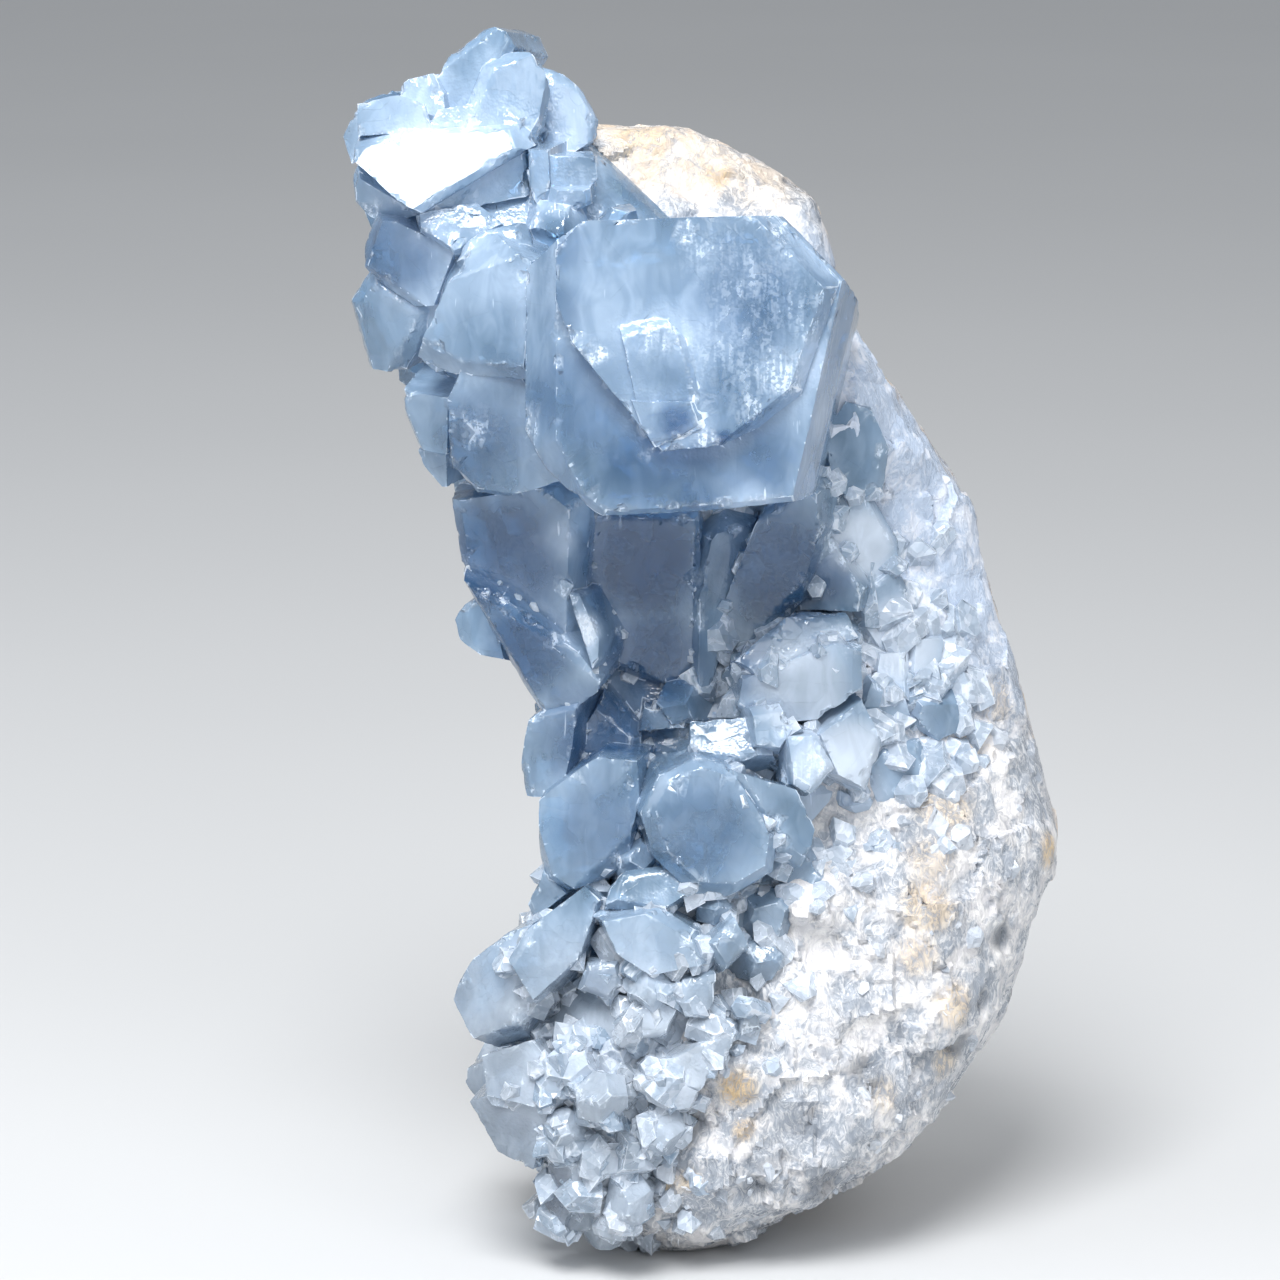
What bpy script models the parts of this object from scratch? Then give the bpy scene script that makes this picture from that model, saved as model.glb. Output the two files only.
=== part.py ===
"""Celestite on matrix: a crust of grown-together celestite crystals on the curved rind of a geode.

Metres, +Z up. The specimen stands on the flat spot under its matrix, at z = 0, and its front, with
the great crystal, faces -Y. Tables are in millimetres, and the outlines of the crystals' faces are
in pixels of the reference photograph, 1280 x 1280, each with the depth at which the face stands.
"""

import math
import random

import bmesh
import bpy
from mathutils import Vector, noise

# Driving dimensions
MM = 0.001
VIEW_DISTANCE = 0.700
VIEW_CENTRE = Vector((-0.0083, 0.0, 0.085))
VIEW_PITCH = math.radians(12.0)
VIEW_FOCAL_PX = 5050.0
VIEW_CENTRE_PX = 640.0
GAP = 0.0004
CRUST_FLOOR = 0.0008
SEED = 11

# Matrix sections, in millimetres: height, left, right, front, back, and the depth of its widest place
MATRIX_SECTIONS = (
    (0, -15, 9, -12, 20, 13),
    (4, -18, 12, -18, 24, 13),
    (8, -19, 21, -22, 26.5, 11),
    (15, -21, 32, -24.5, 29, 9),
    (25, -22, 39.8, -23.5, 31, 10),
    (37, -21, 45.4, -20.5, 33, 10),
    (46, -18, 48.4, -17, 34, 10),
    (53, -16, 51.2, -14, 34, 10),
    (60, -16, 49.3, -10, 34.5, 11),
    (72, -17, 47.0, -5, 34.5, 12),
    (84, -21, 43.8, 0, 34, 12),
    (95, -25, 39.0, 2, 33, 12),
    (107, -29, 34.0, -3, 31, 11),
    (118, -33, 27.4, -9, 29, 10),
    (129, -37, 20.6, -11, 26, 9),
    (140, -39, 16.8, -8, 22, 8),
    (146, -38, 15.2, -4, 19, 8),
    (151, -33, 8, 0, 16, 8),
    (155, -24, -2, 3, 13, 8),
)

# Sections of the massive celestite that the crystals stand on, with the same six numbers
BED_SECTIONS = (
    (3, -17, -9, -20, 6, 0),
    (12, -23, -3, -24, 10, 0),
    (26, -27, 3, -25, 12, 0),
    (38, -24, 9, -23, 14, 2),
    (46, -17, 14, -20, 14, 3),
    (54, -14, 19, -16, 15, 4),
    (68, -16, 25, -11, 16, 5),
    (83, -21, 26, -2, 16, 6),
    (97, -27, 23, 0, 16, 6),
    (110, -32, 20, -9, 16, 4),
    (128, -40, 17, -21, 14, 2),
    (140, -42, 4, -17, 12, 1),
    (150, -42, -12, -9, 10, 1),
    (158, -38, -18, -4, 8, 2),
    (163, -33, -22, -1, 5, 2),
)
SECTION_STEP = 5.0 * MM
SECTION_CORNERS = 38
SECTION_SQUARENESS = 2.3
BED_STEP = 9.0 * MM
BED_CORNERS = 22
REACH = 70.0 * MM

# Some edges of the large crystals' faces are chamfered by a facet of their own, in metres and degrees
CHAMFER_SHARE = 0.4
CHAMFER_WIDTHS = (0.6 * MM, 2.2 * MM)
CHAMFER_ANGLES = (30, 62)
CHAMFER_MOST = 0.3

# Roughness of the matrix: lumps on its granular front, and a smoother rind behind
MATRIX_AXIS_Y = 10.0 * MM
LUMP_SIZE = 13.0 * MM
LUMP_HEIGHT = 1.8 * MM
GRAIN_SIZE = 5.5 * MM
GRAIN_HEIGHT = 1.0 * MM
GRAIN_SHIFT = Vector((7, 3, 1))
RIND_SHARE = 0.45
RIND_FACING = 0.2
RISE_SHARE = 0.5
LOWEST_LUMP = 0.5 * MM

# Knobs on the matrix, each its middle, its radius and its height in millimetres
KNOBS = (
    ((16, -14, 52), 9, 3.2),
    ((33, -6, 62), 8, 1.6),
    ((20, -20, 22), 9, 1.8),
    ((2, -24, 14), 7, 1.5),
)

# Meshing: points this near are one, and neighbours this flat are one face
WELD = 0.02 * MM
FLATNESS = math.radians(0.5)
FLOOR_BLOCK = 0.2

# The photograph's view looks along +Y and 12 degrees down
VIEW_FORWARD = Vector((0.0, math.cos(VIEW_PITCH), -math.sin(VIEW_PITCH)))
VIEW_UP = Vector((0.0, math.sin(VIEW_PITCH), math.cos(VIEW_PITCH)))
VIEW_RIGHT = Vector((1.0, 0.0, 0.0))
EYE = VIEW_CENTRE - VIEW_DISTANCE * VIEW_FORWARD


class Crystal:
    """A crystal known by one face: its outline in the photograph, its depth, and the way it faces.

    facing is (turn to the right, tilt up) in degrees. growth is the same for the crystal's axis, and
    follows the face unless given. flare opens the sides towards the root. bevels gives an edge of the
    outline, by its number, a facet of its own: how far it goes out and how far back. tapers does the
    same for an edge whose side has a flare of its own, in degrees.
    """

    def __init__(
        self, outline, depth, facing, flare=5.0, length=16.0, growth=None, bevels=None, tapers=None
    ):
        self.outline = outline
        self.depth = depth * MM
        self.normal = direction(*facing)
        self.growth = direction(*growth) if growth else self.normal
        self.flare = math.radians(flare)
        self.length = length * MM
        self.bevels = bevels or {}
        self.tapers = tapers or {}


def view_ray(px, py):
    right = (px - VIEW_CENTRE_PX) / VIEW_FOCAL_PX
    down = (py - VIEW_CENTRE_PX) / VIEW_FOCAL_PX
    return VIEW_FORWARD + right * VIEW_RIGHT - down * VIEW_UP


def seen_at(px, py, depth):
    """The point at this depth, along Y, that the photograph shows at a pixel."""
    ray = view_ray(px, py)
    return EYE + ray * ((depth - EYE.y) / ray.y)


def on_plane(px, py, point, normal):
    """The point of a plane that the photograph shows at a pixel."""
    ray = view_ray(px, py)
    return EYE + ray * ((point - EYE).dot(normal) / ray.dot(normal))


def direction(turn, tilt):
    """A unit vector towards the viewer, turned to the right and tilted up by degrees."""
    turn, tilt = math.radians(turn), math.radians(tilt)
    flat = math.cos(tilt)
    return Vector((math.sin(turn) * flat, -math.cos(turn) * flat, math.sin(tilt)))


# The great crystal: its block, the raised slab on its face, and the steps on the slab
GREAT_CRYSTAL = (
    Crystal(
        [(557, 240), (582, 221), (776, 215), (842, 282), (793, 497), (700, 506), (606, 511),
         (583, 492), (556, 440)],
        -34, (1, 9), flare=1, length=32, growth=(-2, 15),
        bevels={3: (2.3, 9), 5: (0.6, 1.2), 4: (0.6, 1.2),
                8: (4.3, 5), 7: (3.0, 3.5), 6: (1.0, 1.5), 2: (0.6, 1)},
        tapers={1: 0, 4: -9, 5: -9, 6: -7},
    ),
    Crystal(
        [(556, 250), (582, 221), (776, 215), (841, 282), (801, 398), (765, 426), (722, 446), (660, 452),
         (640, 427), (578, 358), (556, 300)],
        -36.2, (1, 9), flare=0, length=4,
    ),
    Crystal(
        [(620, 326), (650, 319), (668, 320), (690, 345), (703, 385), (710, 425), (655, 448), (641, 425)],
        -37.6, (2, 6), flare=4, length=4,
    ),
    Crystal([(632, 402), (700, 402), (709, 424), (685, 440), (655, 447),
             (640, 425)], -38.6, (3, 2), length=4),
)

# Clusters from the top down, each from left to right
TOP_CLUSTER = (
    Crystal([(424, 112), (446, 57), (482, 30), (494, 27), (507, 32), (513, 46), (487, 92), (466, 120),
             (440, 128)],
            -8.5, (-12, 10), flare=3, length=17),
    Crystal([(400, 86), (408, 79), (432, 73), (442, 92), (447, 126), (424, 118), (398, 108)],
            -9.5, (-16, 14), length=16),
    Crystal([(484, 66), (492, 60), (513, 52), (530, 52), (541, 62), (551, 90), (545, 125), (531, 150),
             (500, 164), (462, 152), (460, 124)],
            -11, (6, 9), flare=4, length=20),
    Crystal([(543, 66), (566, 74), (585, 92), (600, 119), (598, 138), (575, 152), (548, 152), (545, 112)],
            -5, (14, 12), length=14),
    Crystal([(353, 160), (357, 130), (395, 114), (522, 112), (534, 145), (420, 213), (400, 203)],
            -14, (-6, 33), flare=2, length=20, growth=(-4, 6)),
    Crystal([(357, 136), (358, 104), (398, 95), (424, 104), (432, 132)], -11, (-8, 12), flare=1, length=18),
    Crystal([(428, 130), (436, 110), (500, 98), (526, 116), (520, 130)], -11.5, (-2, 16), flare=1, length=18),
    Crystal([(343, 137), (358, 104), (362, 140), (352, 165)], -4, (-35, 5), length=14),
    Crystal([(420, 214), (526, 150), (530, 196), (450, 213)], -13.5, (14, -6), length=16),
    Crystal([(346, 183), (352, 172), (400, 203), (420, 215), (395, 222), (368, 218), (347, 195)],
            -10, (-24, -18), length=16),
    Crystal([(420, 214), (475, 201), (502, 223), (455, 250), (421, 228)], -16, (0, 22), length=14),
    Crystal([(370, 220), (396, 222), (455, 251), (434, 306), (412, 308), (364, 274), (360, 250)],
            -13, (-18, -4), flare=7, length=18),
    Crystal([(358, 286), (372, 268), (434, 308), (420, 340), (400, 374), (366, 368),
             (355, 335), (347, 306)],
            -9, (-24, -12), flare=5, length=16),
    Crystal([(548, 155), (596, 158), (598, 180), (587, 191), (551, 191)], -14, (8, 6), length=14),
    Crystal([(551, 191), (590, 191), (592, 206), (570, 213), (548, 206)], -16, (2, -8), length=14),
    Crystal([(528, 150), (548, 150), (550, 196), (540, 208), (530, 196)], -15, (-10, 4), length=14),
)

LEFT_CLUSTER = (
    Crystal([(449, 282), (519, 256), (531, 262), (530, 300), (524, 366), (461, 361), (422, 338)],
            -25, (-20, 2), flare=3, length=24, bevels={0: (4.2, 4.5), 4: (2.0, 1.5), 5: (3.2, 2.4)}),
    Crystal([(461, 243), (482, 229), (525, 219), (531, 245), (500, 262),
             (456, 256)], -20, (-8, 30), length=18),
    Crystal([(402, 391), (448, 398), (447, 455), (418, 450), (404, 416)], -15, (-22, -8), length=14),
    Crystal([(418, 450), (446, 455), (447, 487), (442, 487), (424, 466)], -11, (-25, -10), length=12),
    Crystal([(463, 366), (522, 378), (552, 430), (563, 480), (520, 495), (478, 489), (450, 462),
             (447, 400)],
            -22, (-12, -10), flare=6, length=20, bevels={4: (1.5, 2.5), 5: (1.5, 2.5)}),
)

RECESS = (
    Crystal([(450, 502), (560, 485), (582, 502), (577, 656), (463, 584)],
            -10.5, (-14, -8), flare=5, length=18),
    Crystal([(463, 584), (500, 600), (577, 656), (600, 682), (598, 692), (575, 708), (535, 714),
             (505, 665)],
            -11, (-16, -16), flare=5, length=18),
    Crystal([(578, 505), (697, 509), (701, 580), (699, 690), (655, 692), (606, 670), (586, 600),
             (572, 550)],
            -6.5, (-5, -6), flare=5, length=16),
    Crystal([(699, 600), (712, 540), (735, 514), (763, 506), (746, 590), (716, 690), (699, 690)],
            -7, (24, -2), length=16),
    Crystal([(763, 506), (802, 484), (816, 496), (820, 532), (797, 605), (728, 690), (717, 690),
             (725, 600)], -9.5, (-18, -6), flare=4, length=18),
    Crystal([(567, 593), (580, 597), (599, 640), (598, 660), (590, 673),
             (577, 625)], -12.5, (-20, 0), length=14),
    Crystal([(455, 620), (463, 605), (480, 598), (492, 610), (504, 660), (480, 655), (460, 640)],
            -3, (-34, 4), flare=12, length=12),
    Crystal([(802, 555), (830, 540), (862, 590), (858, 612), (800, 610)], -7, (-16, 2), flare=6, length=14),
)

# Blunt crystals that fade into the matrix, right of the recess
RIGHT_BAND = (
    Crystal([(826, 432), (846, 402), (872, 410), (890, 450), (884, 492), (852, 500), (832, 484)],
            -5, (18, 4), flare=14, length=13),
    Crystal([(818, 500), (830, 484), (872, 492), (903, 545), (897, 568), (866, 592), (820, 530)],
            -4, (20, 0), flare=9, length=13),
    Crystal([(862, 592), (896, 568), (914, 592), (912, 640), (884, 654), (862, 622)], -2.5, (26, -4),
            flare=10, length=12),
    Crystal([(880, 654), (908, 652), (910, 700), (876, 682)], -5, (4, 14), flare=8, length=12),
    Crystal([(872, 682), (906, 700), (912, 722), (900, 738), (866, 742), (864, 706)], -6, (14, -6),
            flare=9, length=12),
    Crystal([(916, 640), (944, 638), (938, 690), (922, 702), (914, 672)], -3, (24, 8), flare=12, length=10),
    Crystal([(922, 706), (958, 704), (962, 730), (934, 744), (918, 728)], -4.5, (20, -10),
            flare=12, length=10),
    Crystal([(868, 772), (888, 746), (922, 742), (932, 768), (914, 802), (880, 802)], -7.5, (16, 8),
            flare=10, length=12),
)

MIDDLE = (
    Crystal([(735, 660), (780, 622), (797, 610), (846, 611), (858, 636), (758, 674)],
            -14, (4, 26), flare=4, length=18),
    Crystal([(738, 712), (742, 680), (835, 644), (862, 652), (862, 690), (818, 720), (760, 724)],
            -15, (5, -8), flare=4, length=18),
    Crystal([(528, 720), (540, 713), (576, 705), (572, 750), (560, 798), (525, 797), (519, 770)],
            -10, (-20, 0), flare=5, length=16),
    Crystal([(602, 700), (640, 732), (640, 756), (562, 795), (566, 757)], -7.5, (-6, -6), length=14),
    Crystal([(575, 772), (598, 757), (636, 762), (638, 800), (626, 860), (605, 880), (560, 894), (545, 885),
             (538, 860), (539, 800)], -17, (-10, 4), flare=4, length=20),
    Crystal([(656, 812), (670, 784), (702, 768), (736, 778), (770, 830), (765, 866), (735, 884),
             (700, 882), (668, 852)],
            -24, (4, 5), flare=3, length=24,
            bevels={0: (1.6, 1.8), 1: (1.4, 1.4), 2: (1.0, 1.6), 3: (0.8, 3.0), 4: (1.4, 2.5), 5: (1.6, 2.0),
                    6: (2.4, 2.6), 7: (2.0, 2.0), 8: (2.0, 1.6)}),
    Crystal([(788, 738), (818, 735), (836, 770), (812, 796), (795, 785)], -20, (12, 8), length=16),
    Crystal([(690, 722), (768, 716), (772, 752), (735, 762), (690, 755)], -17, (-4, 30), length=14),
    Crystal([(752, 710), (780, 706), (792, 730), (780, 748),
             (757, 745)], -19, (6, 14), flare=10, length=14),
    Crystal([(735, 772), (797, 790), (816, 830), (805, 868), (782, 852)], -21, (28, 6), length=16),
    Crystal([(645, 704), (690, 712), (684, 728), (640, 731)], -9, (0, 8), length=12),
    Crystal([(820, 735), (862, 700), (884, 745), (868, 790), (838, 775)], -14, (20, 4), flare=8, length=14),
)

FOOT = (
    Crystal([(542, 870), (566, 894), (533, 920), (527, 905)], -14, (-24, 0), length=14),
    Crystal([(453, 1000), (459, 980), (474, 958), (506, 934), (530, 925), (534, 1000), (515, 1040),
             (485, 1050),
             (470, 1035)], -19, (-22, 6), flare=5, length=18),
    Crystal([(524, 932), (585, 886), (600, 900), (578, 960), (533, 1000),
             (508, 960)], -23, (-6, 18), length=18),
    Crystal([(606, 905), (612, 884), (626, 870), (660, 865), (692, 890),
             (660, 912)], -23, (0, 24), length=16),
    Crystal([(602, 922), (660, 912), (700, 935), (712, 963), (650, 976),
             (618, 955)], -27, (4, 6), length=18),
    Crystal([(708, 945), (735, 918), (750, 948), (725, 972)], -26, (10, 10), length=14),
    Crystal([(482, 1056), (530, 1040), (570, 1090), (545, 1110), (487, 1096)], -25, (-18, 18), length=16),
    Crystal([(470, 1102), (522, 1083), (549, 1110), (533, 1170), (498, 1152)], -24, (-24, -6), length=16),
    Crystal([(545, 1150), (569, 1133), (574, 1200), (560, 1234), (539, 1195)], -24, (-32, -6), length=16),
    Crystal([(568, 1133), (600, 1145), (602, 1205), (574, 1203)], -25, (14, 2), length=14),
    Crystal([(590, 1145), (652, 1140), (655, 1170), (600, 1180)], -27, (0, 12), length=14),
    Crystal([(577, 990), (586, 965), (620, 961), (623, 985), (611, 1001)], -24.5, (-6, 8), length=12),
    Crystal([(672, 1004), (684, 982), (716, 976), (714, 1002), (700, 1022)], -26.5, (10, -4), length=12),
    Crystal([(622, 1012), (650, 998), (676, 1010), (664, 1036), (632, 1040)], -26.5, (-4, 14), length=12),
    Crystal([(668, 1062), (702, 1044), (736, 1032), (728, 1060), (694, 1098), (664, 1090)],
            -28, (8, 10), length=13),
    Crystal([(609, 1074), (622, 1066), (637, 1080), (630, 1098), (613, 1092)], -27, (0, 0), length=10),
    Crystal([(640, 1086), (664, 1074), (697, 1092), (690, 1108), (670, 1112), (648, 1102)],
            -28.5, (2, -12), length=11),
    Crystal([(676, 1156), (706, 1150), (716, 1176), (700, 1190), (680, 1180)], -25, (12, 14), length=12),
    Crystal([(740, 1008), (756, 1004), (762, 1030), (742, 1036)], -25.5, (14, 4), length=10),
    Crystal([(574, 1200), (602, 1205), (628, 1230), (600, 1234), (562, 1236)], -23, (-4, -14), length=12),
)

# Crystals that fill the crust between the large ones stand on the bed, this far apart
FILL_SPACING = 7.2 * MM
FILL_SIZES = (5.0 * MM, 9.0 * MM)
FILL_EDGE_SHARE = 0.6
FILL_FIRST_ANGLE = math.radians(150)
FILL_LAST_ANGLE = math.radians(330)
FILL_LEAST_ROUND = 3
FILL_SHIFT = 0.3
FILL_LEAN = 0.35
FILL_HEIGHT_SHIFT = 2.0 * MM
FILL_CENTRE_BACK = 4.0 * MM
FILL_CENTRE_DROPS = (-3.0 * MM, 6.0 * MM)

# A filling crystal's faces: their angles, and how far they stand from its middle as shares of its size
PRISM_HALF_ANGLE = math.radians(38)
DOME_ANGLE = math.radians(48)
END_DOME_ANGLE = math.radians(52)
TIP_HEIGHTS = (0.55, 0.95)
HALF_WIDTHS = (0.42, 0.62)
HALF_DEPTHS = (0.34, 0.5)
PRISM_SPREAD = (0.9, 1.15)
FLAT_SPREAD = (0.75, 1.0)
DOME_SPREAD = (0.1, 0.5)
END_DOME_SPREAD = (0.2, 0.6)
DOME_DROP = 0.1
END_DOME_DROP = 0.08
ROOT_DEPTH = 0.9


def between(table, height):
    """The numbers of a table of sections at a height, on a smooth curve through its rows."""
    row = next((i for i in range(len(table) - 2) if table[i + 1][0] > height), len(table) - 2)
    before, low, high, after = (table[min(max(row + i, 0), len(table) - 1)] for i in (-1, 0, 1, 2))
    span = high[0] - low[0]
    t = (height - low[0]) / span
    numbers = []
    for i in range(1, len(low)):
        rise_in = (high[i] - before[i]) / max(high[0] - before[0], span) * span
        rise_out = (after[i] - low[i]) / max(after[0] - low[0], span) * span
        rest = (1 + 2 * t) * (1 - t) ** 2 * low[i] + t * (1 - t) ** 2 * rise_in
        numbers.append(rest + t * t * (3 - 2 * t) * high[i] + t * t * (t - 1) * rise_out)
    return numbers


def section_point(table, height, angle):
    """A point of a section's outline: angle 0 is its right, 90 degrees its back."""
    left, right, front, back, middle = (number * MM for number in between(table, height / MM))
    centre_x = (left + right) / 2
    cos, sin = math.cos(angle), math.sin(angle)
    power = 2 / SECTION_SQUARENESS
    x = centre_x + math.copysign(abs(cos) ** power, cos) * (right - left) / 2
    reach = back - middle if sin > 0 else middle - front
    return Vector((x, middle + math.copysign(abs(sin) ** power, sin) * reach, height))


def loft(table, step, corners, shape=None):
    """A closed body through a table of sections, with flat ends; shape moves each of its points."""
    mesh = bmesh.new()
    lowest, highest = table[0][0] * MM, table[-1][0] * MM
    count = round((highest - lowest) / step)
    rings = []
    for i in range(count + 1):
        height = lowest + (highest - lowest) * i / count
        ring = [section_point(table, height, 2 * math.pi * c / corners) for c in range(corners)]
        if shape:
            ring = [shape(point) for point in ring]
        rings.append([mesh.verts.new(point) for point in ring])
    for low, high in zip(rings, rings[1:]):
        for c in range(corners):
            after = (c + 1) % corners
            mesh.faces.new((low[c], low[after], high[after], high[c]))
    mesh.faces.new(list(reversed(rings[0])))
    mesh.faces.new(rings[-1])
    bmesh.ops.recalc_face_normals(mesh, faces=mesh.faces)
    bmesh.ops.triangulate(mesh, faces=mesh.faces)
    return mesh


def roughened(point):
    """A point of the matrix moved by its lumps and grains; the flat spot stays flat."""
    if point.z <= 0:
        return point
    outward = Vector((point.x, point.y - MATRIX_AXIS_Y, 0)).normalized()
    share = RIND_SHARE if outward.y > RIND_FACING else 1.0
    lump = noise.noise(point / LUMP_SIZE) * LUMP_HEIGHT
    grain = noise.noise(point / GRAIN_SIZE + GRAIN_SHIFT) * GRAIN_HEIGHT
    moved = point + outward * ((lump + grain) * share + knob_height(point))
    moved.z = max(point.z + (lump - grain) * share * RISE_SHARE, LOWEST_LUMP)
    return moved


def knob_height(point):
    """How far the knobs raise a point of the matrix."""
    height = 0.0
    for middle, radius, rise in KNOBS:
        near = 1 - (point - Vector(middle) * MM).length / (radius * MM)
        height += rise * MM * max(near, 0.0)
    return height


def cut_away(mesh, point, normal):
    """Keeps the side of a convex mesh that the normal points away from."""
    everything = mesh.verts[:] + mesh.edges[:] + mesh.faces[:]
    cut = bmesh.ops.bisect_plane(
        mesh, geom=everything, plane_co=point, plane_no=normal, clear_outer=True, dist=1e-7
    )
    edges = [item for item in cut["geom_cut"] if isinstance(item, bmesh.types.BMEdge)]
    if edges:
        bmesh.ops.edgeloop_fill(mesh, edges=edges)


def convex_solid(planes, inside, reach):
    """The body that a set of planes, each a point and an outward normal, encloses."""
    mesh = bmesh.new()
    bmesh.ops.create_cube(mesh, size=2 * reach)
    bmesh.ops.translate(mesh, verts=mesh.verts, vec=inside)
    for point, normal in planes:
        cut_away(mesh, point, normal)
    bmesh.ops.recalc_face_normals(mesh, faces=mesh.faces)
    return mesh


def face_crystal(crystal):
    """The body of a crystal known by its face."""
    outline = crystal.outline
    mean_x = sum(x for x, _ in outline) / len(outline)
    mean_y = sum(y for _, y in outline) / len(outline)
    middle = seen_at(mean_x, mean_y, crystal.depth)
    corners = [on_plane(x, y, middle, crystal.normal) for x, y in outline]
    planes = [(middle, crystal.normal), (middle - crystal.growth * crystal.length, -crystal.growth)]
    draw = random.Random(outline[0][0] * 1000 + outline[0][1])
    for i, start in enumerate(corners):
        along = (corners[(i + 1) % len(corners)] - start).normalized()
        out = along.cross(crystal.growth).normalized()
        if (start - middle).dot(out) < 0:
            out = -out
        edge = start
        if not crystal.bevels and draw.random() < CHAMFER_SHARE:
            planes.append(chamfer(crystal, start, out, middle, draw))
        if i in crystal.bevels:
            wide, deep = crystal.bevels[i]
            step = out * wide * MM - crystal.growth * deep * MM
            planes.append((edge, outward_normal(along, step, out)))
            edge = edge + step
        flare = math.radians(crystal.tapers[i]) if i in crystal.tapers else crystal.flare
        side = out * math.sin(flare) - crystal.growth * math.cos(flare)
        planes.append((edge, outward_normal(along, side, out)))
    return convex_solid(planes, middle - crystal.growth * crystal.length / 2, REACH)


def chamfer(crystal, start, out, middle, draw):
    """A plane that takes a strip off the edge between a crystal's face and one of its sides."""
    width = min(draw.uniform(*CHAMFER_WIDTHS), CHAMFER_MOST * (start - middle).dot(out))
    angle = math.radians(draw.uniform(*CHAMFER_ANGLES))
    return start - out * width, crystal.normal * math.cos(angle) + out * math.sin(angle)


def outward_normal(along, across, out):
    normal = along.cross(across).normalized()
    return normal if normal.dot(out) > 0 else -normal


def blocky_crystal(root, growth, size, draw):
    """A free celestite crystal: a rhombic prism with end domes, standing on its root."""
    turn = draw.uniform(0, 2 * math.pi)
    first = growth.orthogonal().normalized()
    second = growth.cross(first)
    side = first * math.cos(turn) + second * math.sin(turn)
    other = growth.cross(side)
    tip = root + growth * size * draw.uniform(*TIP_HEIGHTS)
    wide, narrow = size * draw.uniform(*HALF_WIDTHS), size * draw.uniform(*HALF_DEPTHS)
    planes = [(root - growth * size * ROOT_DEPTH, -growth)]
    for sign in (-1, 1):
        for across in (-1, 1):
            prism = side * sign * math.cos(PRISM_HALF_ANGLE) + other * across * math.sin(PRISM_HALF_ANGLE)
            planes.append((root + prism * narrow * draw.uniform(*PRISM_SPREAD), prism))
        flat = other * sign
        planes.append((root + flat * wide * draw.uniform(*FLAT_SPREAD), flat))
        dome = flat * math.sin(DOME_ANGLE) + growth * math.cos(DOME_ANGLE)
        planes.append((tip - growth * size * DOME_DROP + flat * wide * draw.uniform(*DOME_SPREAD), dome))
        edge = side * sign
        end = edge * math.sin(END_DOME_ANGLE) + growth * math.cos(END_DOME_ANGLE)
        end_start = tip - growth * size * END_DOME_DROP + edge * narrow * draw.uniform(*END_DOME_SPREAD)
        planes.append((end_start, end))
    planes.append((tip, growth))
    return convex_solid(planes, root, 3 * size)


def covers(outline, px, py):
    """Whether a pixel lies inside a closed outline."""
    inside = False
    for (x0, y0), (x1, y1) in zip(outline, outline[1:] + outline[:1]):
        if (y0 > py) != (y1 > py) and px < (x1 - x0) * (py - y0) / (y1 - y0) + x0:
            inside = not inside
    return inside


def pixel_of(point):
    """The pixel at which the photograph shows a point."""
    away = point - EYE
    scale = VIEW_FOCAL_PX / away.dot(VIEW_FORWARD)
    return VIEW_CENTRE_PX + away.dot(VIEW_RIGHT) * scale, VIEW_CENTRE_PX - away.dot(VIEW_UP) * scale


def fill_crystals(known):
    """The crystals between the large ones, standing on the bed all round its open side."""
    draw = random.Random(SEED)
    lowest, highest = BED_SECTIONS[0][0] * MM, BED_SECTIONS[-1][0] * MM
    crystals = []
    height = lowest + FILL_SPACING / 2
    while height < highest:
        left, right, front, _, middle = (number * MM for number in between(BED_SECTIONS, height / MM))
        girth = (right - left) / 2 + (middle - front) + FILL_CENTRE_BACK
        count = max(FILL_LEAST_ROUND, round(girth / FILL_SPACING))
        for i in range(count + 1):
            share = (i + draw.uniform(-FILL_SHIFT, FILL_SHIFT)) / count
            angle = FILL_FIRST_ANGLE + (FILL_LAST_ANGLE - FILL_FIRST_ANGLE) * share
            shift = draw.uniform(-FILL_HEIGHT_SHIFT, FILL_HEIGHT_SHIFT)
            place = section_point(BED_SECTIONS, min(height + shift, highest), angle)
            drop = draw.uniform(*FILL_CENTRE_DROPS)
            centre = Vector(((left + right) / 2, middle + FILL_CENTRE_BACK, place.z - drop))
            lean = Vector([draw.uniform(-FILL_LEAN, FILL_LEAN) for _ in range(3)])
            growth = ((place - centre).normalized() + lean).normalized()
            size = draw.uniform(*FILL_SIZES) * (FILL_EDGE_SHARE if i == count else 1)
            pixel = pixel_of(place + growth * size / 2)
            if growth.y < 0 and any(covers(crystal.outline, *pixel) for crystal in known):
                continue
            crystals.append(blocky_crystal(place, growth, size, draw))
        height += FILL_SPACING
    return crystals


def to_object(mesh, name):
    data = bpy.data.meshes.new(name)
    mesh.to_mesh(data)
    mesh.free()
    made = bpy.data.objects.new(name, data)
    bpy.context.scene.collection.objects.link(made)
    return made


def combined(target, others, operation):
    """Replaces the target's mesh by its Boolean with the others, and removes them."""
    group = bpy.data.collections.new("operands")
    for other in others:
        group.objects.link(other)
    modifier = target.modifiers.new("boolean", "BOOLEAN")
    modifier.operation = operation
    modifier.solver = "EXACT"
    modifier.operand_type = "COLLECTION"
    modifier.collection = group
    graph = bpy.context.evaluated_depsgraph_get()
    data = bpy.data.meshes.new_from_object(target.evaluated_get(graph))
    target.modifiers.clear()
    target.data = data
    data.name = target.name
    for other in others:
        bpy.data.objects.remove(other, do_unlink=True)
    bpy.data.collections.remove(group)


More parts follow.
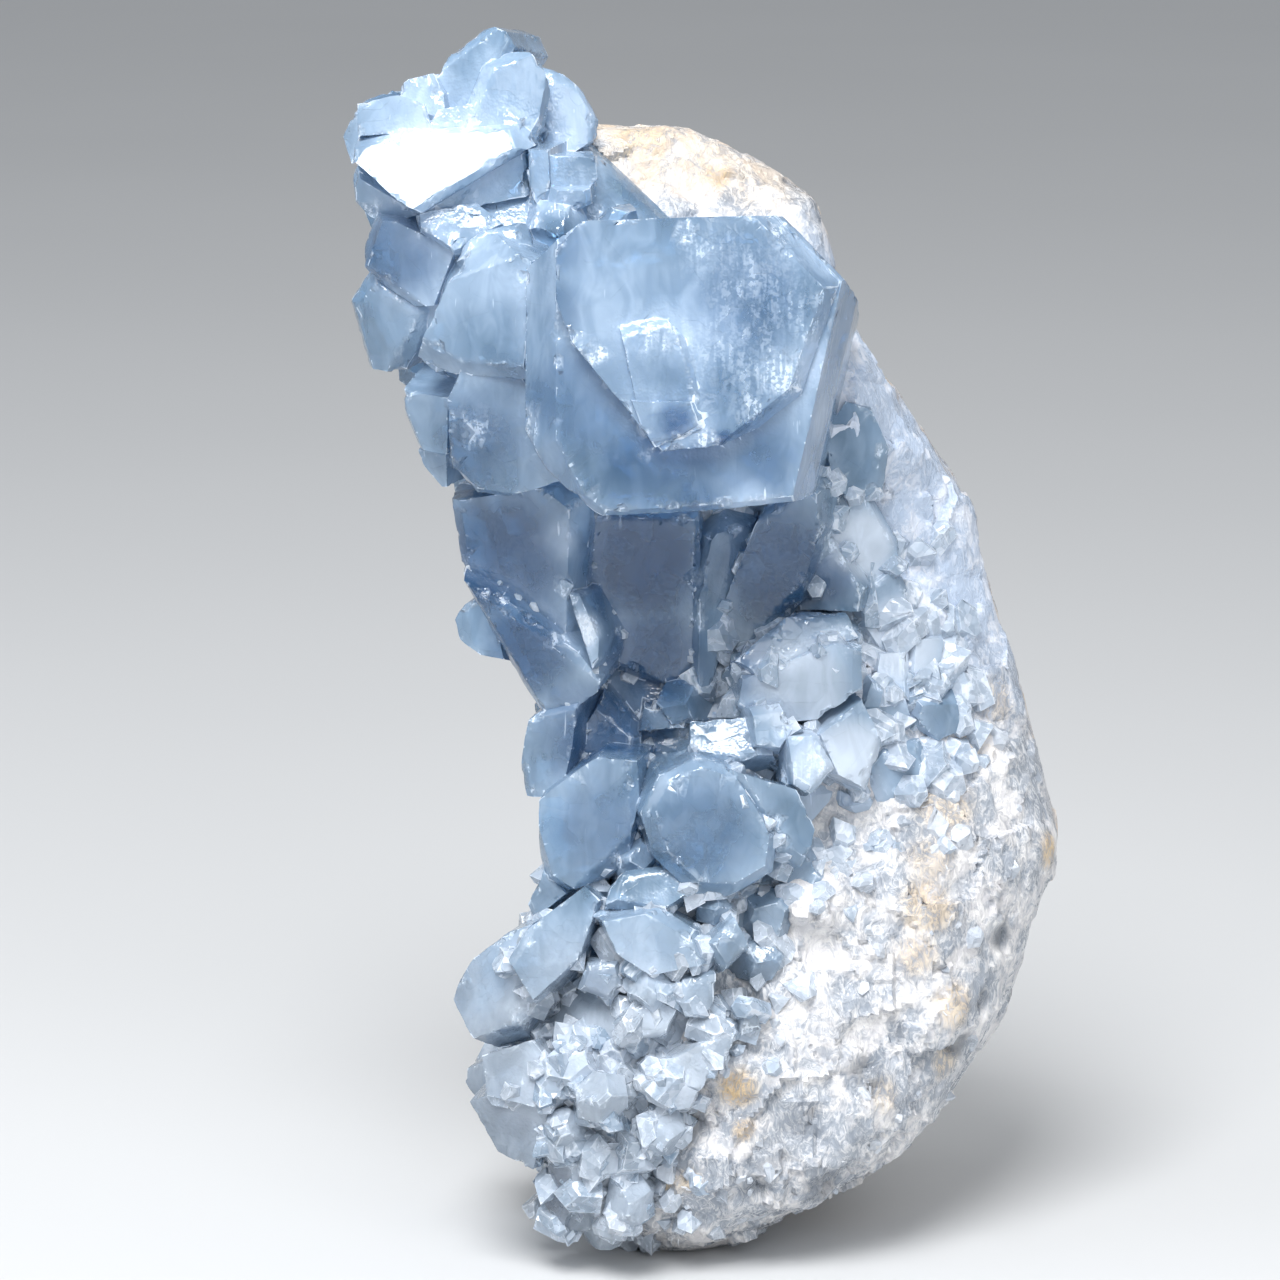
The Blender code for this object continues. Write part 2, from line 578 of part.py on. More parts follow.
def keep_largest_body(target):
    """Deletes every body of an object's mesh but the one with the most faces."""
    mesh = bmesh.new()
    mesh.from_mesh(target.data)
    left = set(mesh.faces)
    bodies = []
    while left:
        body, waiting = set(), [left.pop()]
        while waiting:
            face = waiting.pop()
            body.add(face)
            near = {f for edge in face.edges for f in edge.link_faces} & left
            left -= near
            waiting.extend(near)
        bodies.append(body)
    bodies.sort(key=len)
    small = [face for body in bodies[:-1] for face in body]
    bmesh.ops.delete(mesh, geom=small, context="FACES")
    mesh.to_mesh(target.data)
    mesh.free()


def tidy_mesh(target):
    """Merges points that coincide and flat neighbours, and cuts the faces into triangles."""
    mesh = bmesh.new()
    mesh.from_mesh(target.data)
    bmesh.ops.remove_doubles(mesh, verts=mesh.verts, dist=WELD)
    bmesh.ops.dissolve_limit(mesh, angle_limit=FLATNESS, verts=mesh.verts, edges=mesh.edges)
    bmesh.ops.triangulate(mesh, faces=mesh.faces)
    mesh.to_mesh(target.data)
    mesh.free()


def grown(source, margin):
    """A copy of an object, pushed out by a margin along its normals."""
    mesh = bmesh.new()
    mesh.from_mesh(source.data)
    mesh.normal_update()
    for vert in mesh.verts:
        vert.co += vert.normal * margin
    return to_object(mesh, "matrix_room")


def below_floor():
    """A block that takes in everything under the crust's lowest height."""
    mesh = bmesh.new()
    bmesh.ops.create_cube(mesh, size=FLOOR_BLOCK)
    bmesh.ops.translate(mesh, verts=mesh.verts, vec=Vector((0, 0, CRUST_FLOOR - FLOOR_BLOCK / 2)))
    return to_object(mesh, "floor_room")


def make_matrix():
    return to_object(loft(MATRIX_SECTIONS, SECTION_STEP, SECTION_CORNERS, roughened), "matrix")


def make_crust(matrix):
    crust = to_object(loft(BED_SECTIONS, BED_STEP, BED_CORNERS), "crystal_crust")
    known = GREAT_CRYSTAL + TOP_CLUSTER + LEFT_CLUSTER + RECESS + RIGHT_BAND + MIDDLE + FOOT
    solids = [face_crystal(crystal) for crystal in known] + fill_crystals(known)
    combined(crust, [to_object(solid, "crystal") for solid in solids], "UNION")
    combined(crust, [grown(matrix, GAP), below_floor()], "DIFFERENCE")
    keep_largest_body(crust)
    tidy_mesh(crust)
    return crust


def give_material(target, name, colour, roughness, transmission=0.0, ior=1.5):
    material = bpy.data.materials.new(name)
    material.use_nodes = True
    shader = material.node_tree.nodes["Principled BSDF"]
    shader.inputs["Base Color"].default_value = (*colour, 1.0)
    shader.inputs["Roughness"].default_value = roughness
    shader.inputs["Metallic"].default_value = 0.0
    shader.inputs["Transmission Weight"].default_value = transmission
    shader.inputs["IOR"].default_value = ior
    target.data.materials.append(material)


def main():
    for leftover in list(bpy.data.objects):
        bpy.data.objects.remove(leftover, do_unlink=True)
    matrix = make_matrix()
    crust = make_crust(matrix)
    give_material(matrix, "granular_celestite", (0.62, 0.63, 0.62), 0.85)
    give_material(crust, "celestite", (0.42, 0.58, 0.74), 0.15, transmission=0.6, ior=1.62)


main()
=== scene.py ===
"""Looks of the celestite specimen: clear to milky blue crystals on a white granular matrix.

Metres, +Z up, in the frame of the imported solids. The matrix and the crystal crust are copies of the
solids, made finer and broken up within their box, and small crystals grow where the two meet.
"""

import math
import random

import bmesh
import bpy
import numpy as np
from mathutils import Matrix, Vector, noise
from mathutils.bvhtree import BVHTree
from mathutils.kdtree import KDTree

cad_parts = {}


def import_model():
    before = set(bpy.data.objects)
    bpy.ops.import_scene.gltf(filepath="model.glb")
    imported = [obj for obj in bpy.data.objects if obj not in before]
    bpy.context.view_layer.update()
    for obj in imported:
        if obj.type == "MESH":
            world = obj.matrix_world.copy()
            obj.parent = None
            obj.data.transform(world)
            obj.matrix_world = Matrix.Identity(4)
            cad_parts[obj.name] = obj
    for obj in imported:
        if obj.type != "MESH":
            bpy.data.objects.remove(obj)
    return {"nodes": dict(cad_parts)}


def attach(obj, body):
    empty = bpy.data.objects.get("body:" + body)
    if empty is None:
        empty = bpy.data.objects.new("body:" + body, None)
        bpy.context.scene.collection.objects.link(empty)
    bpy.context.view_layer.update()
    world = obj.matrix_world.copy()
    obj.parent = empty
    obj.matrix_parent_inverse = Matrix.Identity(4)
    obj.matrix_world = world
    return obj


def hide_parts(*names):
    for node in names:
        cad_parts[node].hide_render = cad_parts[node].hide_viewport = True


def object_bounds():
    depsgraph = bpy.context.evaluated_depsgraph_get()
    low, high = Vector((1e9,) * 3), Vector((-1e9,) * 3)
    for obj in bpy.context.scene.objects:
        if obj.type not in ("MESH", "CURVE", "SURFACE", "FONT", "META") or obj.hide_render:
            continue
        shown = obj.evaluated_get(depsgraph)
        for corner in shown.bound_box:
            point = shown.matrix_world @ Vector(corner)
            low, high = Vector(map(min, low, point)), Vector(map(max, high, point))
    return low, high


MM = 0.001
SEED = 5

# The photograph's view: it looks along +Y and 12 degrees down
FRAME_PX = 1280
FOCAL_PX = 5050.0
CENTRE_PX = 640.0
PITCH = math.radians(12.0)
EYE = Vector((-0.0083, -0.6847, 0.2305))
SENSOR = 36.0

# Crust: the length of its triangles' sides near edges and on faces
EDGE_STEP = 0.75 * MM
FACE_STEP = 2.2 * MM
EDGE_REACH = 1.2 * MM
SHARP = math.radians(22)
ROOT_GAP = 0.9 * MM

# Crust: chips bitten out of its edges
CHIP_SPACING = 3.2 * MM
CHIP_RADII = (0.25 * MM, 1.5 * MM)
CHIP_DEPTHS = (0.25, 0.6)
NIBBLE = 0.14 * MM
SWELL = 0.10 * MM

# Small crystals: the foot's lie below this height and right of this place
FOOT_TOP = 56 * MM
FOOT_LEFT = -22 * MM

# Matrix
MATRIX_VOXEL = 0.68 * MM
MATRIX_LIFT = 0.15 * MM
RAISED = 3.2

# Marks placed on what the photograph's view shows at a pixel: pixel, radius in millimetres, strength
# Milky places of the crystals; the marks on the middle right cluster also paint light into the shaded gaps between
# its crystals
MILKY_AND_GAP_LIGHT_MARKS = (
    ((440, 170), 14, 0.5),
    ((400, 120), 12, 0.2),
    ((500, 90), 12, 0.15),
    ((575, 110), 8, 0.4),
    ((560, 180), 8, 0.4),
    ((620, 270), 14, 0.25),
    ((690, 330), 10, 0.25),
    ((480, 270), 8, 0.1),
    ((560, 540), 4, 0.5),
    ((583, 630), 4, 0.9),
    ((860, 545), 9, 0.9),
    ((900, 640), 11, 0.9),
    ((812, 765), 6, 0.7),
    ((850, 720), 8, 0.4),
    ((640, 960), 14, 0.35),
    ((540, 1070), 14, 0.45),
    ((500, 1020), 8, 0.4),
    ((660, 1060), 14, 0.6),
    ((630, 1190), 10, 0.5),
    ((760, 730), 8, 0.4),
    ((840, 800), 12, 0.6),
    ((800, 690), 12, 0.8),
    ((850, 760), 10, 0.9),
    ((770, 640), 8, 0.6),
    ((750, 505), 5, 0.3),
    ((812, 360), 5, 0.5),
    ((820, 420), 4, 0.4),
)
CLEAR_MARKS = (
    ((640, 462), 8, 0.6),
    ((562, 245), 5, 0.4),
    ((560, 310), 5, 0.4),
    ((570, 380), 6, 0.4),
    ((745, 295), 10, 0.35),
    ((675, 423), 3.2, 1.0),
    ((724, 440), 1.8, 1.0),
    ((700, 472), 8, 0.6),
    ((760, 460), 7, 0.6),
    ((590, 420), 7, 0.5),
    ((640, 560), 13, 1.0),
    ((650, 660), 11, 1.0),
    ((780, 570), 12, 1.0),
    ((740, 660), 8, 0.8),
    ((500, 560), 13, 1.0),
    ((520, 650), 10, 1.0),
    ((600, 730), 11, 1.0),
    ((400, 250), 9, 0.8),
    ((470, 440), 9, 0.6),
    ((545, 400), 6, 0.4),
    ((830, 575), 5, 1.0),
    ((655, 745), 4, 0.8),
    ((700, 830), 10, 0.5),
    ((600, 830), 9, 0.5),
    ((555, 1190), 6, 0.9),
    ((520, 1110), 6, 0.5),
    ((590, 985), 5, 0.5),
)
# Worn, chipped places of the crystals, and one painted glint: the small white frosted spot at (698, 745)
WORN_AND_GLINT_MARKS = (
    ((592, 352), 2.4, 1.0),
    ((686, 232), 2.0, 1.0),
    ((715, 255), 5.0, 0.35),
    ((760, 290), 9.0, 0.3),
    ((740, 350), 8.0, 0.3),
    ((780, 236), 2.6, 0.8),
    ((776, 372), 5.0, 0.6),
    ((748, 408), 3.0, 0.7),
    ((810, 320), 4.0, 0.4),
    ((655, 345), 3.0, 0.4),
    ((704, 440), 2.0, 1.0),
    ((812, 765), 3.0, 0.7),
    ((583, 630), 3.0, 0.9),
    ((475, 430), 3.6, 0.6),
    ((528, 425), 3.0, 0.7),
    # Painted glint: a small white frosted spot standing in for a cluster of bright reflections
    ((698, 745), 1.6, 0.9),
    ((525, 1015), 2.6, 1.0),
    ((850, 640), 3.0, 0.8),
)
STAIN_MARKS = (
    ((738, 1088), 3.6, 1.0),
    ((744, 1130), 2.4, 0.7),
    ((655, 1182), 5.0, 0.8),
    ((690, 1180), 2.5, 0.6),
    ((640, 138), 6.0, 0.7),
    ((718, 175), 3.0, 0.8),
    ((660, 150), 9.0, 0.4),
    ((700, 160), 8.0, 0.4),
    ((600, 120), 6.0, 0.4),
    ((760, 190), 7.0, 0.3),
    ((996, 702), 4.5, 0.4),
    ((972, 745), 5.0, 0.35),
    ((947, 807), 6.0, 0.5),
    ((930, 860), 5.0, 0.4),
    ((926, 906), 5.5, 0.6),
    ((916, 955), 4.0, 0.5),
    ((953, 1004), 4.5, 0.6),
    ((947, 1062), 3.5, 0.5),
    ((885, 1095), 3.5, 0.4),
    ((1048, 850), 3.5, 0.9),
)
# Pits in the matrix: cut into it, and filled with painted shade, near black
PIT_SHADE_MARKS = (
    ((1000, 935), 3.0, 1.0),
    ((960, 1045), 3.0, 0.9),
    ((870, 1078), 4.0, 0.8),
    ((755, 1188), 3.0, 0.8),
    ((825, 1185), 5.0, 0.8),
    ((800, 1125), 4.0, 0.5),
    ((770, 1160), 4.0, 0.5),
    ((690, 1125), 3.5, 0.7),
    ((985, 1000), 2.5, 0.8),
)
RAISED_MARKS = (
    ((830, 700), 16, 1.0),
    ((890, 640), 11, 0.8),
    ((640, 1000), 14, 0.7),
    ((680, 880), 9, 0.8),
    ((815, 898), 6, 0.7),
)
WHITE_MARKS = (
    ((815, 895), 9, 1.0),
    ((770, 960), 8, 0.7),
    ((880, 940), 9, 0.3),
    ((790, 1030), 10, 0.6),
    ((960, 880), 9, 0.3),
    ((1022, 850), 7, 0.6),
    ((740, 1120), 6, 0.3),
)


def ray_through(px, py):
    forward = Vector((0.0, math.cos(PITCH), -math.sin(PITCH)))
    up = Vector((0.0, math.sin(PITCH), math.cos(PITCH)))
    right = Vector((1.0, 0.0, 0.0))
    return forward + right * ((px - CENTRE_PX) / FOCAL_PX) - up * ((py - CENTRE_PX) / FOCAL_PX)


def seen_point(tree, pixel):
    """Where the photograph's view meets a surface at a pixel, or the nearest place to the ray."""
    ray = ray_through(*pixel).normalized()
    hit = tree.ray_cast(EYE, ray)[0]
    if hit is None:
        hit = tree.find_nearest(EYE + ray * 0.7)[0]
    return hit


def smooth(low, high, values):
    t = np.clip((values - low) / (high - low), 0.0, 1.0)
    return t * t * (3 - 2 * t)


def marked(points, tree, marks):
    """How strongly a set of marks covers each point, from 0 to 1."""
    cover = np.zeros(len(points))
    for pixel, radius, strength in marks:
        middle = np.array(seen_point(tree, pixel))
        far = np.linalg.norm(points - middle, axis=1) / (radius * MM)
        cover = np.maximum(cover, strength * (1 - smooth(0.35, 1.0, far)))
    return cover


def noise_at(points, size, shift=0.0):
    """Smooth noise from about -1 to 1 at each point, with features of this size."""
    offset = Vector((shift, shift * 0.7, -shift))
    return np.array([noise.noise(Vector(p) / size + offset) for p in points])


def hashed(cells, salt):
    """A number from 0 to 1 for each whole-numbered cell, the same each time."""
    mixed = (
        cells[:, 0].astype(np.int64) * 73856093
        ^ cells[:, 1].astype(np.int64) * 19349663
        ^ cells[:, 2].astype(np.int64) * 83492791
        ^ np.int64(salt * 2654435761 % 4294967296)
    )
    mixed = (mixed ^ (mixed >> 13)) * 1274126177 & 0xFFFFFFFF
    mixed = (mixed ^ (mixed >> 16)) * 2246822519 & 0xFFFFFFFF
    mixed = mixed ^ (mixed >> 15)
    return (mixed & 0xFFFFFF) / float(0x1000000)


def facets(points, size, salt):
    """A broken surface: its height, about -1 to 1, each face's own number and how near its border is.

    Each cell of the noise is a flat face with a tilt of its own. The border is 1 where two cells meet.
    """
    scaled = points / size
    base = np.floor(scaled).astype(np.int64)
    nearest = np.full(len(points), 1e9)
    second = np.full(len(points), 1e9)
    height = np.zeros(len(points))
    tone = np.zeros(len(points))
    for dx in (-1, 0, 1):
        for dy in (-1, 0, 1):
            for dz in (-1, 0, 1):
                cell = base + (dx, dy, dz)
                jitter = np.stack([hashed(cell, salt + k) for k in range(3)], axis=1)
                away = scaled - (cell + jitter)
                far = (away**2).sum(axis=1)
                tilt = np.stack([hashed(cell, salt + 3 + k) for k in range(3)], axis=1) * 2 - 1
                face = (away * tilt).sum(axis=1) * 1.3 + (hashed(cell, salt + 6) - 0.5)
                closer = far < nearest
                second = np.minimum(second, np.maximum(far, nearest))
                nearest = np.where(closer, far, nearest)
                height = np.where(closer, face, height)
                tone = np.where(closer, hashed(cell, salt + 7), tone)
    border = 1 - smooth(0.0, 0.2, np.sqrt(second) - np.sqrt(nearest))
    return height, tone, border


def bmesh_of(source):
    """The source's mesh with the points that coincide made one."""
    mesh = bmesh.new()
    mesh.from_mesh(source.data)
    bmesh.ops.remove_doubles(mesh, verts=mesh.verts, dist=0.002 * MM)
    bmesh.ops.recalc_face_normals(mesh, faces=mesh.faces)
    mesh.normal_update()
    return mesh


def add_object(name, data):
    made = bpy.data.objects.new(name, data)
    bpy.context.scene.collection.objects.link(made)
    return made


def points_of(data):
    flat = np.empty(len(data.vertices) * 3)
    data.vertices.foreach_get("co", flat)
    return flat.reshape(-1, 3)


def normals_of(data):
    flat = np.empty(len(data.vertices) * 3)
    data.vertices.foreach_get("normal", flat)
    return flat.reshape(-1, 3)


def set_points(data, points):
    data.vertices.foreach_set("co", points.astype(np.float32).ravel())
    data.update()


def set_attribute(data, name, values):
    made = data.attributes.new(name, "FLOAT", "POINT")
    made.data.foreach_set("value", np.clip(values, 0, 1).astype(np.float32))


def inside_box(points, box):
    low, high = (np.array(corner) for corner in box)
    return np.clip(points, low, high)


class EdgeMap:
    """The sharp edges of the crust: points along them, and which of them stand out or are hollow."""

    def __init__(self, mesh, matrix_tree):
        self.ridges, self.hollows = [], []
        for edge in mesh.edges:
            if len(edge.link_faces) != 2 or edge.calc_face_angle(0.0) < SHARP:
                continue
            first, last = edge.verts[0].co, edge.verts[1].co
            outward = (edge.link_faces[0].normal + edge.link_faces[1].normal).normalized()
            near = matrix_tree.find_nearest((first + last) / 2)[3]
            if near < ROOT_GAP:
                continue
            kept = self.ridges if edge.is_convex else self.hollows
            kept.append((first.copy(), last.copy(), outward))
        self.tree = self.sampled([*self.ridges, *self.hollows], 0.4 * MM)
        self.hollow_tree = self.sampled(self.hollows, 0.8 * MM)

    @staticmethod
    def sampled(edges, step):
        places = []
        for first, last, _ in edges:
            count = max(1, math.ceil((last - first).length / step))
            places += [first.lerp(last, i / count) for i in range(count + 1)]
        tree = KDTree(len(places))
        for i, place in enumerate(places):
            tree.insert(place, i)
        tree.balance()
        return tree


def refine(mesh, edges):
    """Splits the edges of a mesh until they are short: shorter near sharp edges than on faces."""
    for _ in range(9):
        long = []
        for edge in mesh.edges:
            length = edge.calc_length()
            if length < EDGE_STEP * 1.5:
                continue
            if length > FACE_STEP * 1.5:
                long.append(edge)
                continue
            middle = (edge.verts[0].co + edge.verts[1].co) / 2
            if edges.tree.find(middle)[2] < EDGE_REACH:
                long.append(edge)
        if not long:
            break
        bmesh.ops.subdivide_edges(mesh, edges=long, cuts=1)
        bmesh.ops.triangulate(mesh, faces=mesh.faces[:])
        flat = [e for e in mesh.edges if len(e.link_faces) == 2 and e.calc_face_angle(1.0) < 0.002]
        bmesh.ops.beautify_fill(mesh, faces=mesh.faces[:], edges=flat, method="ANGLE")


def chips_along(edges, draw):
    """Round bites out of the ridges: each its centre, outside the crystal, and its radius."""
    chips = []
    for first, last, outward in edges.ridges:
        length = (last - first).length
        for _ in range(int(length / CHIP_SPACING + draw.random())):
            small, large = CHIP_RADII
            radius = small + (large - small) * draw.random() ** 3
            place = first.lerp(last, draw.random())
            depth = radius * draw.uniform(*CHIP_DEPTHS)
            chips.append((place + outward * (radius - depth), radius))
    return chips


def bitten(points, chips):
    """The points with the bites taken out, and how much each was bitten."""
    tree = KDTree(len(points))
    for i, point in enumerate(points):
        tree.insert(point, i)
    tree.balance()
    moved = points.copy()
    wear_and_glint = np.zeros(len(points))
    for centre, radius in chips:
        for place, i, far in tree.find_range(centre, radius):
            away = (place - centre) / max(far, 1e-9)
            moved[i] = centre + away * radius
            wear_and_glint[i] = 1.0
    return moved, wear_and_glint


def make_crystals(source, matrix_tree, box):
    """The crust of large crystals, with chipped edges and slightly wavy faces."""
    draw = random.Random(SEED)
    mesh = bmesh_of(source)
    edges = EdgeMap(mesh, matrix_tree)
    refine(mesh, edges)
    data = bpy.data.meshes.new("crystals")
    mesh.to_mesh(data)
    tree = BVHTree.FromBMesh(mesh)
    mesh.free()
    points, normals = points_of(data), normals_of(data)
    near_edge = np.array([edges.tree.find(p)[2] for p in points])
    swell = noise_at(points, 7 * MM) * SWELL + noise_at(points, 2.4 * MM, 3.0) * SWELL * 0.3
    nibble = np.clip(noise_at(points, 1.6 * MM, 8.0) + 0.3, 0, 1) * NIBBLE * (near_edge < 0.1 * MM)
    moved = points + normals * (swell - nibble)[:, None]
    moved, wear_and_glint = bitten(moved, chips_along(edges, draw))
    # Chipped places and the worn marks, with the one painted glint among them
    wear_and_glint = np.maximum(wear_and_glint * 0.55, marked(points, tree, WORN_AND_GLINT_MARKS))
    near_hollow = np.array([edges.hollow_tree.find(p)[2] for p in points])
    set_points(data, inside_box(moved, box))
    set_attribute(data, "wear_and_glint", wear_and_glint)
    # Milky places, partly painted light that lifts the shade in the gaps of the middle right cluster
    set_attribute(data, "milky", marked(points, tree, MILKY_AND_GAP_LIGHT_MARKS))
    set_attribute(data, "clear", marked(points, tree, CLEAR_MARKS))
    set_attribute(data, "edge", (near_edge < 0.08 * MM).astype(float))
    # Nearness to the crust's hollow edges: drives bump and frosted contact lines, and painted light lifting the
    # shade in crevices
    set_attribute(data, "hollow", 1 - smooth(0.0, 3.0 * MM, near_hollow))
    veil = 0.5 + 0.6 * noise_at(points, 11 * MM, 12.0) + 0.25 * noise_at(points, 4.5 * MM, 14.0)
    set_attribute(data, "veil", veil)
    set_attribute(data, "foot", 1 - smooth(34 * MM, FOOT_TOP, points[:, 2] + 5 * MM * noise_at(points, 9 * MM)))
    data.polygons.foreach_set("use_smooth", [True] * len(data.polygons))
    data.set_sharp_from_angle(angle=math.radians(16))
    return add_object("crystals", data), edges, tree


def remeshed(source, voxel, rounds):
    """A copy of an object's mesh made of small even faces, then smoothed."""
    work = add_object("work", source.data.copy())
    remesh = work.modifiers.new("remesh", "REMESH")
    remesh.mode = "VOXEL"
    remesh.voxel_size = voxel
    soften = work.modifiers.new("smooth", "SMOOTH")
    soften.factor = 0.5
    soften.iterations = rounds
    graph = bpy.context.evaluated_depsgraph_get()
    data = bpy.data.meshes.new_from_object(work.evaluated_get(graph))
    bpy.data.objects.remove(work)
    return data


def blue_share(points):
    """Where the matrix is massive and pale blue: its upper front, near the great crystal."""
    heights = points[:, 2] + 6 * MM * noise_at(points, 8 * MM, 4.0)
    blue = smooth(62 * MM, 92 * MM, heights) * (1 - smooth(136 * MM, 146 * MM, points[:, 2]))
    return blue * (1 - smooth(12 * MM, 22 * MM, points[:, 1] + 3 * MM * noise_at(points, 5 * MM, 6.0)))


def make_matrix(source, box):
    """The matrix: broken granular faces in front, a smoother cracked rind behind."""
    data = remeshed(source, MATRIX_VOXEL, 12)
    data.name = "granular_matrix"
    points, normals = points_of(data), normals_of(data)
    tree = BVHTree.FromPolygons([Vector(p) for p in points], [p.vertices[:] for p in data.polygons])
    turned = normals[:, 1] + 0.12 * noise_at(points, 9 * MM, 2.0)
    rind = smooth(0.10, 0.35, turned)
    calm = 1 - 0.6 * np.maximum(smooth(0.5, 0.85, normals[:, 0]), smooth(118 * MM, 135 * MM, points[:, 2]))
    blue = blue_share(points)
    coarse, coarse_tone, coarse_border = facets(points, 8.5 * MM, 11)
    middle, middle_tone, middle_border = facets(points, 4.4 * MM, 23)
    fine, _, fine_border = facets(points, 2.0 * MM, 37)
    patch = smooth(-0.25, 0.35, noise_at(points, 6 * MM, 7.0))
    crumb = noise_at(points, 1.0 * MM, 9.0)
    crust = np.maximum(coarse_border * 0.8, middle_border * 0.7) * smooth(-0.3, 0.2, noise_at(points, 4 * MM, 3.0))
    white = np.maximum(marked(points, tree, WHITE_MARKS), 0.55 * patch * (1 - blue))
    broken = coarse * (0.95 + 0.3 * blue) + middle * (0.5 + 0.15 * patch - 0.1 * blue)
    broken += (fine * 0.28 * patch + crumb * 0.12 + crust * 0.3 - fine_border * 0.1) * (1 - 0.75 * blue)
    broken += RAISED * marked(points, tree, RAISED_MARKS)
    plates, plate_tone, plate_border = facets(points, 13 * MM, 51)
    knobs, _, knob_border = facets(points, 5.0 * MM, 61)
    # Cracks between the rind's plates: cut into it, and darkened with painted shade
    cracks_and_their_shade = np.maximum(plate_border, 0.7 * knob_border) * smooth(-0.1, 0.4, noise_at(points, 9 * MM, 13.0))
    rough_rind = noise_at(points, 2.2 * MM, 5.0) * 0.22 + noise_at(points, 1.1 * MM, 15.0) * 0.12
    shell = plates * 0.35 + knobs * 0.22 + rough_rind - cracks_and_their_shade * 0.4
    rock = 0.35 + 0.3 * plate_tone + 0.5 * noise_at(points, 12 * MM, 17.0) + 0.25 * noise_at(points, 4 * MM, 18.0)
    pits_and_their_shade = marked(points, tree, PIT_SHADE_MARKS)
    lift = broken * (1 - rind) * calm + shell * rind
    lift -= pits_and_their_shade * (0.8 + 0.8 * noise_at(points, 2.0 * MM, 1.0))
    lift = lift * MM + MATRIX_LIFT
    flat = smooth(0.0, 2.0 * MM, points[:, 2])
    moved = points + normals * (lift * flat)[:, None]
    moved[:, 2] = np.maximum(moved[:, 2], 0.0)
    set_points(data, inside_box(moved, box))
    clear = smooth(0.42, 0.5, 0.55 * coarse_tone + 0.45 * middle_tone) * (1 - crust)
    rim = smooth(-0.16, 0.02, turned) * (1 - smooth(0.16, 0.32, turned))
    rim = np.maximum(rim, 0.75 * smooth(143 * MM, 151 * MM, points[:, 2]))
    set_attribute(data, "blue", blue)
    set_attribute(data, "rind", rind)
    set_attribute(data, "rim", rim)
    set_attribute(data, "rock", rock)
    set_attribute(data, "crack_shade", cracks_and_their_shade)
    set_attribute(data, "clear", clear * (1 - 0.8 * marked(points, tree, WHITE_MARKS)))
    set_attribute(data, "pit_shade", pits_and_their_shade)
    set_attribute(data, "stain", marked(points, tree, STAIN_MARKS))
    set_attribute(data, "white", white)
    data.polygons.foreach_set("use_smooth", [True] * len(data.polygons))
    data.set_sharp_from_angle(angle=math.radians(35))
    return add_object("granular_matrix", data)


def cut_away(mesh, point, normal):
    everything = mesh.verts[:] + mesh.edges[:] + mesh.faces[:]
    cut = bmesh.ops.bisect_plane(
        mesh, geom=everything, plane_co=point, plane_no=normal, clear_outer=True, dist=1e-6
    )
    rim = [item for item in cut["geom_cut"] if isinstance(item, bmesh.types.BMEdge)]
    if rim:
        bmesh.ops.edgeloop_fill(mesh, edges=rim)


def unit_crystal(draw):
    """A celestite crystal of unit size, growing along +Z from the origin.

    It gives the points, the triangles, and which points lie on the crystal's edges.
    """
    mesh = bmesh.new()
    bmesh.ops.create_cube(mesh, size=2.0)
    tip = draw.uniform(0.55, 0.95)
    wide, narrow = draw.uniform(0.38, 0.6), draw.uniform(0.26, 0.48)
    cut_away(mesh, Vector((0, 0, -0.5)), Vector((0, 0, -1)))
    cut_away(mesh, Vector((0, 0, tip)), Vector((draw.uniform(-0.2, 0.2), draw.uniform(-0.2, 0.2), 1)))
    for sign in (-1, 1):
        for across in (-1, 1):
            half = math.radians(draw.uniform(33, 42))
            face = Vector((sign * math.cos(half), across * math.sin(half), 0.0))
            cut_away(mesh, face * narrow * draw.uniform(0.85, 1.15), face)
        flat = Vector((0.0, sign, 0.0))
        cut_away(mesh, flat * wide * draw.uniform(0.75, 1.0), flat)
        dome = Vector((0.0, sign * math.sin(0.8), math.cos(0.8)))
        cut_away(mesh, Vector((0, sign * wide * draw.uniform(0.1, 0.5), tip - 0.08)), dome)
        if draw.random() < 0.7:
            end = Vector((sign * math.sin(0.9), 0.0, math.cos(0.9)))
            cut_away(mesh, Vector((sign * narrow * draw.uniform(0.2, 0.6), 0, tip - 0.06)), end)
    bmesh.ops.recalc_face_normals(mesh, faces=mesh.faces)
    outer = len(mesh.verts)
    broad = [face for face in mesh.faces if face.calc_area() > 0.03]
    bmesh.ops.inset_individual(mesh, faces=broad, thickness=0.035, use_even_offset=True)
    bmesh.ops.triangulate(mesh, faces=mesh.faces)
    mesh.verts.index_update()
    points = np.array([v.co for v in mesh.verts])
    faces = np.array([[v.index for v in f.verts] for f in mesh.faces])
    mesh.free()
    return points, faces, np.arange(len(points)) < outer


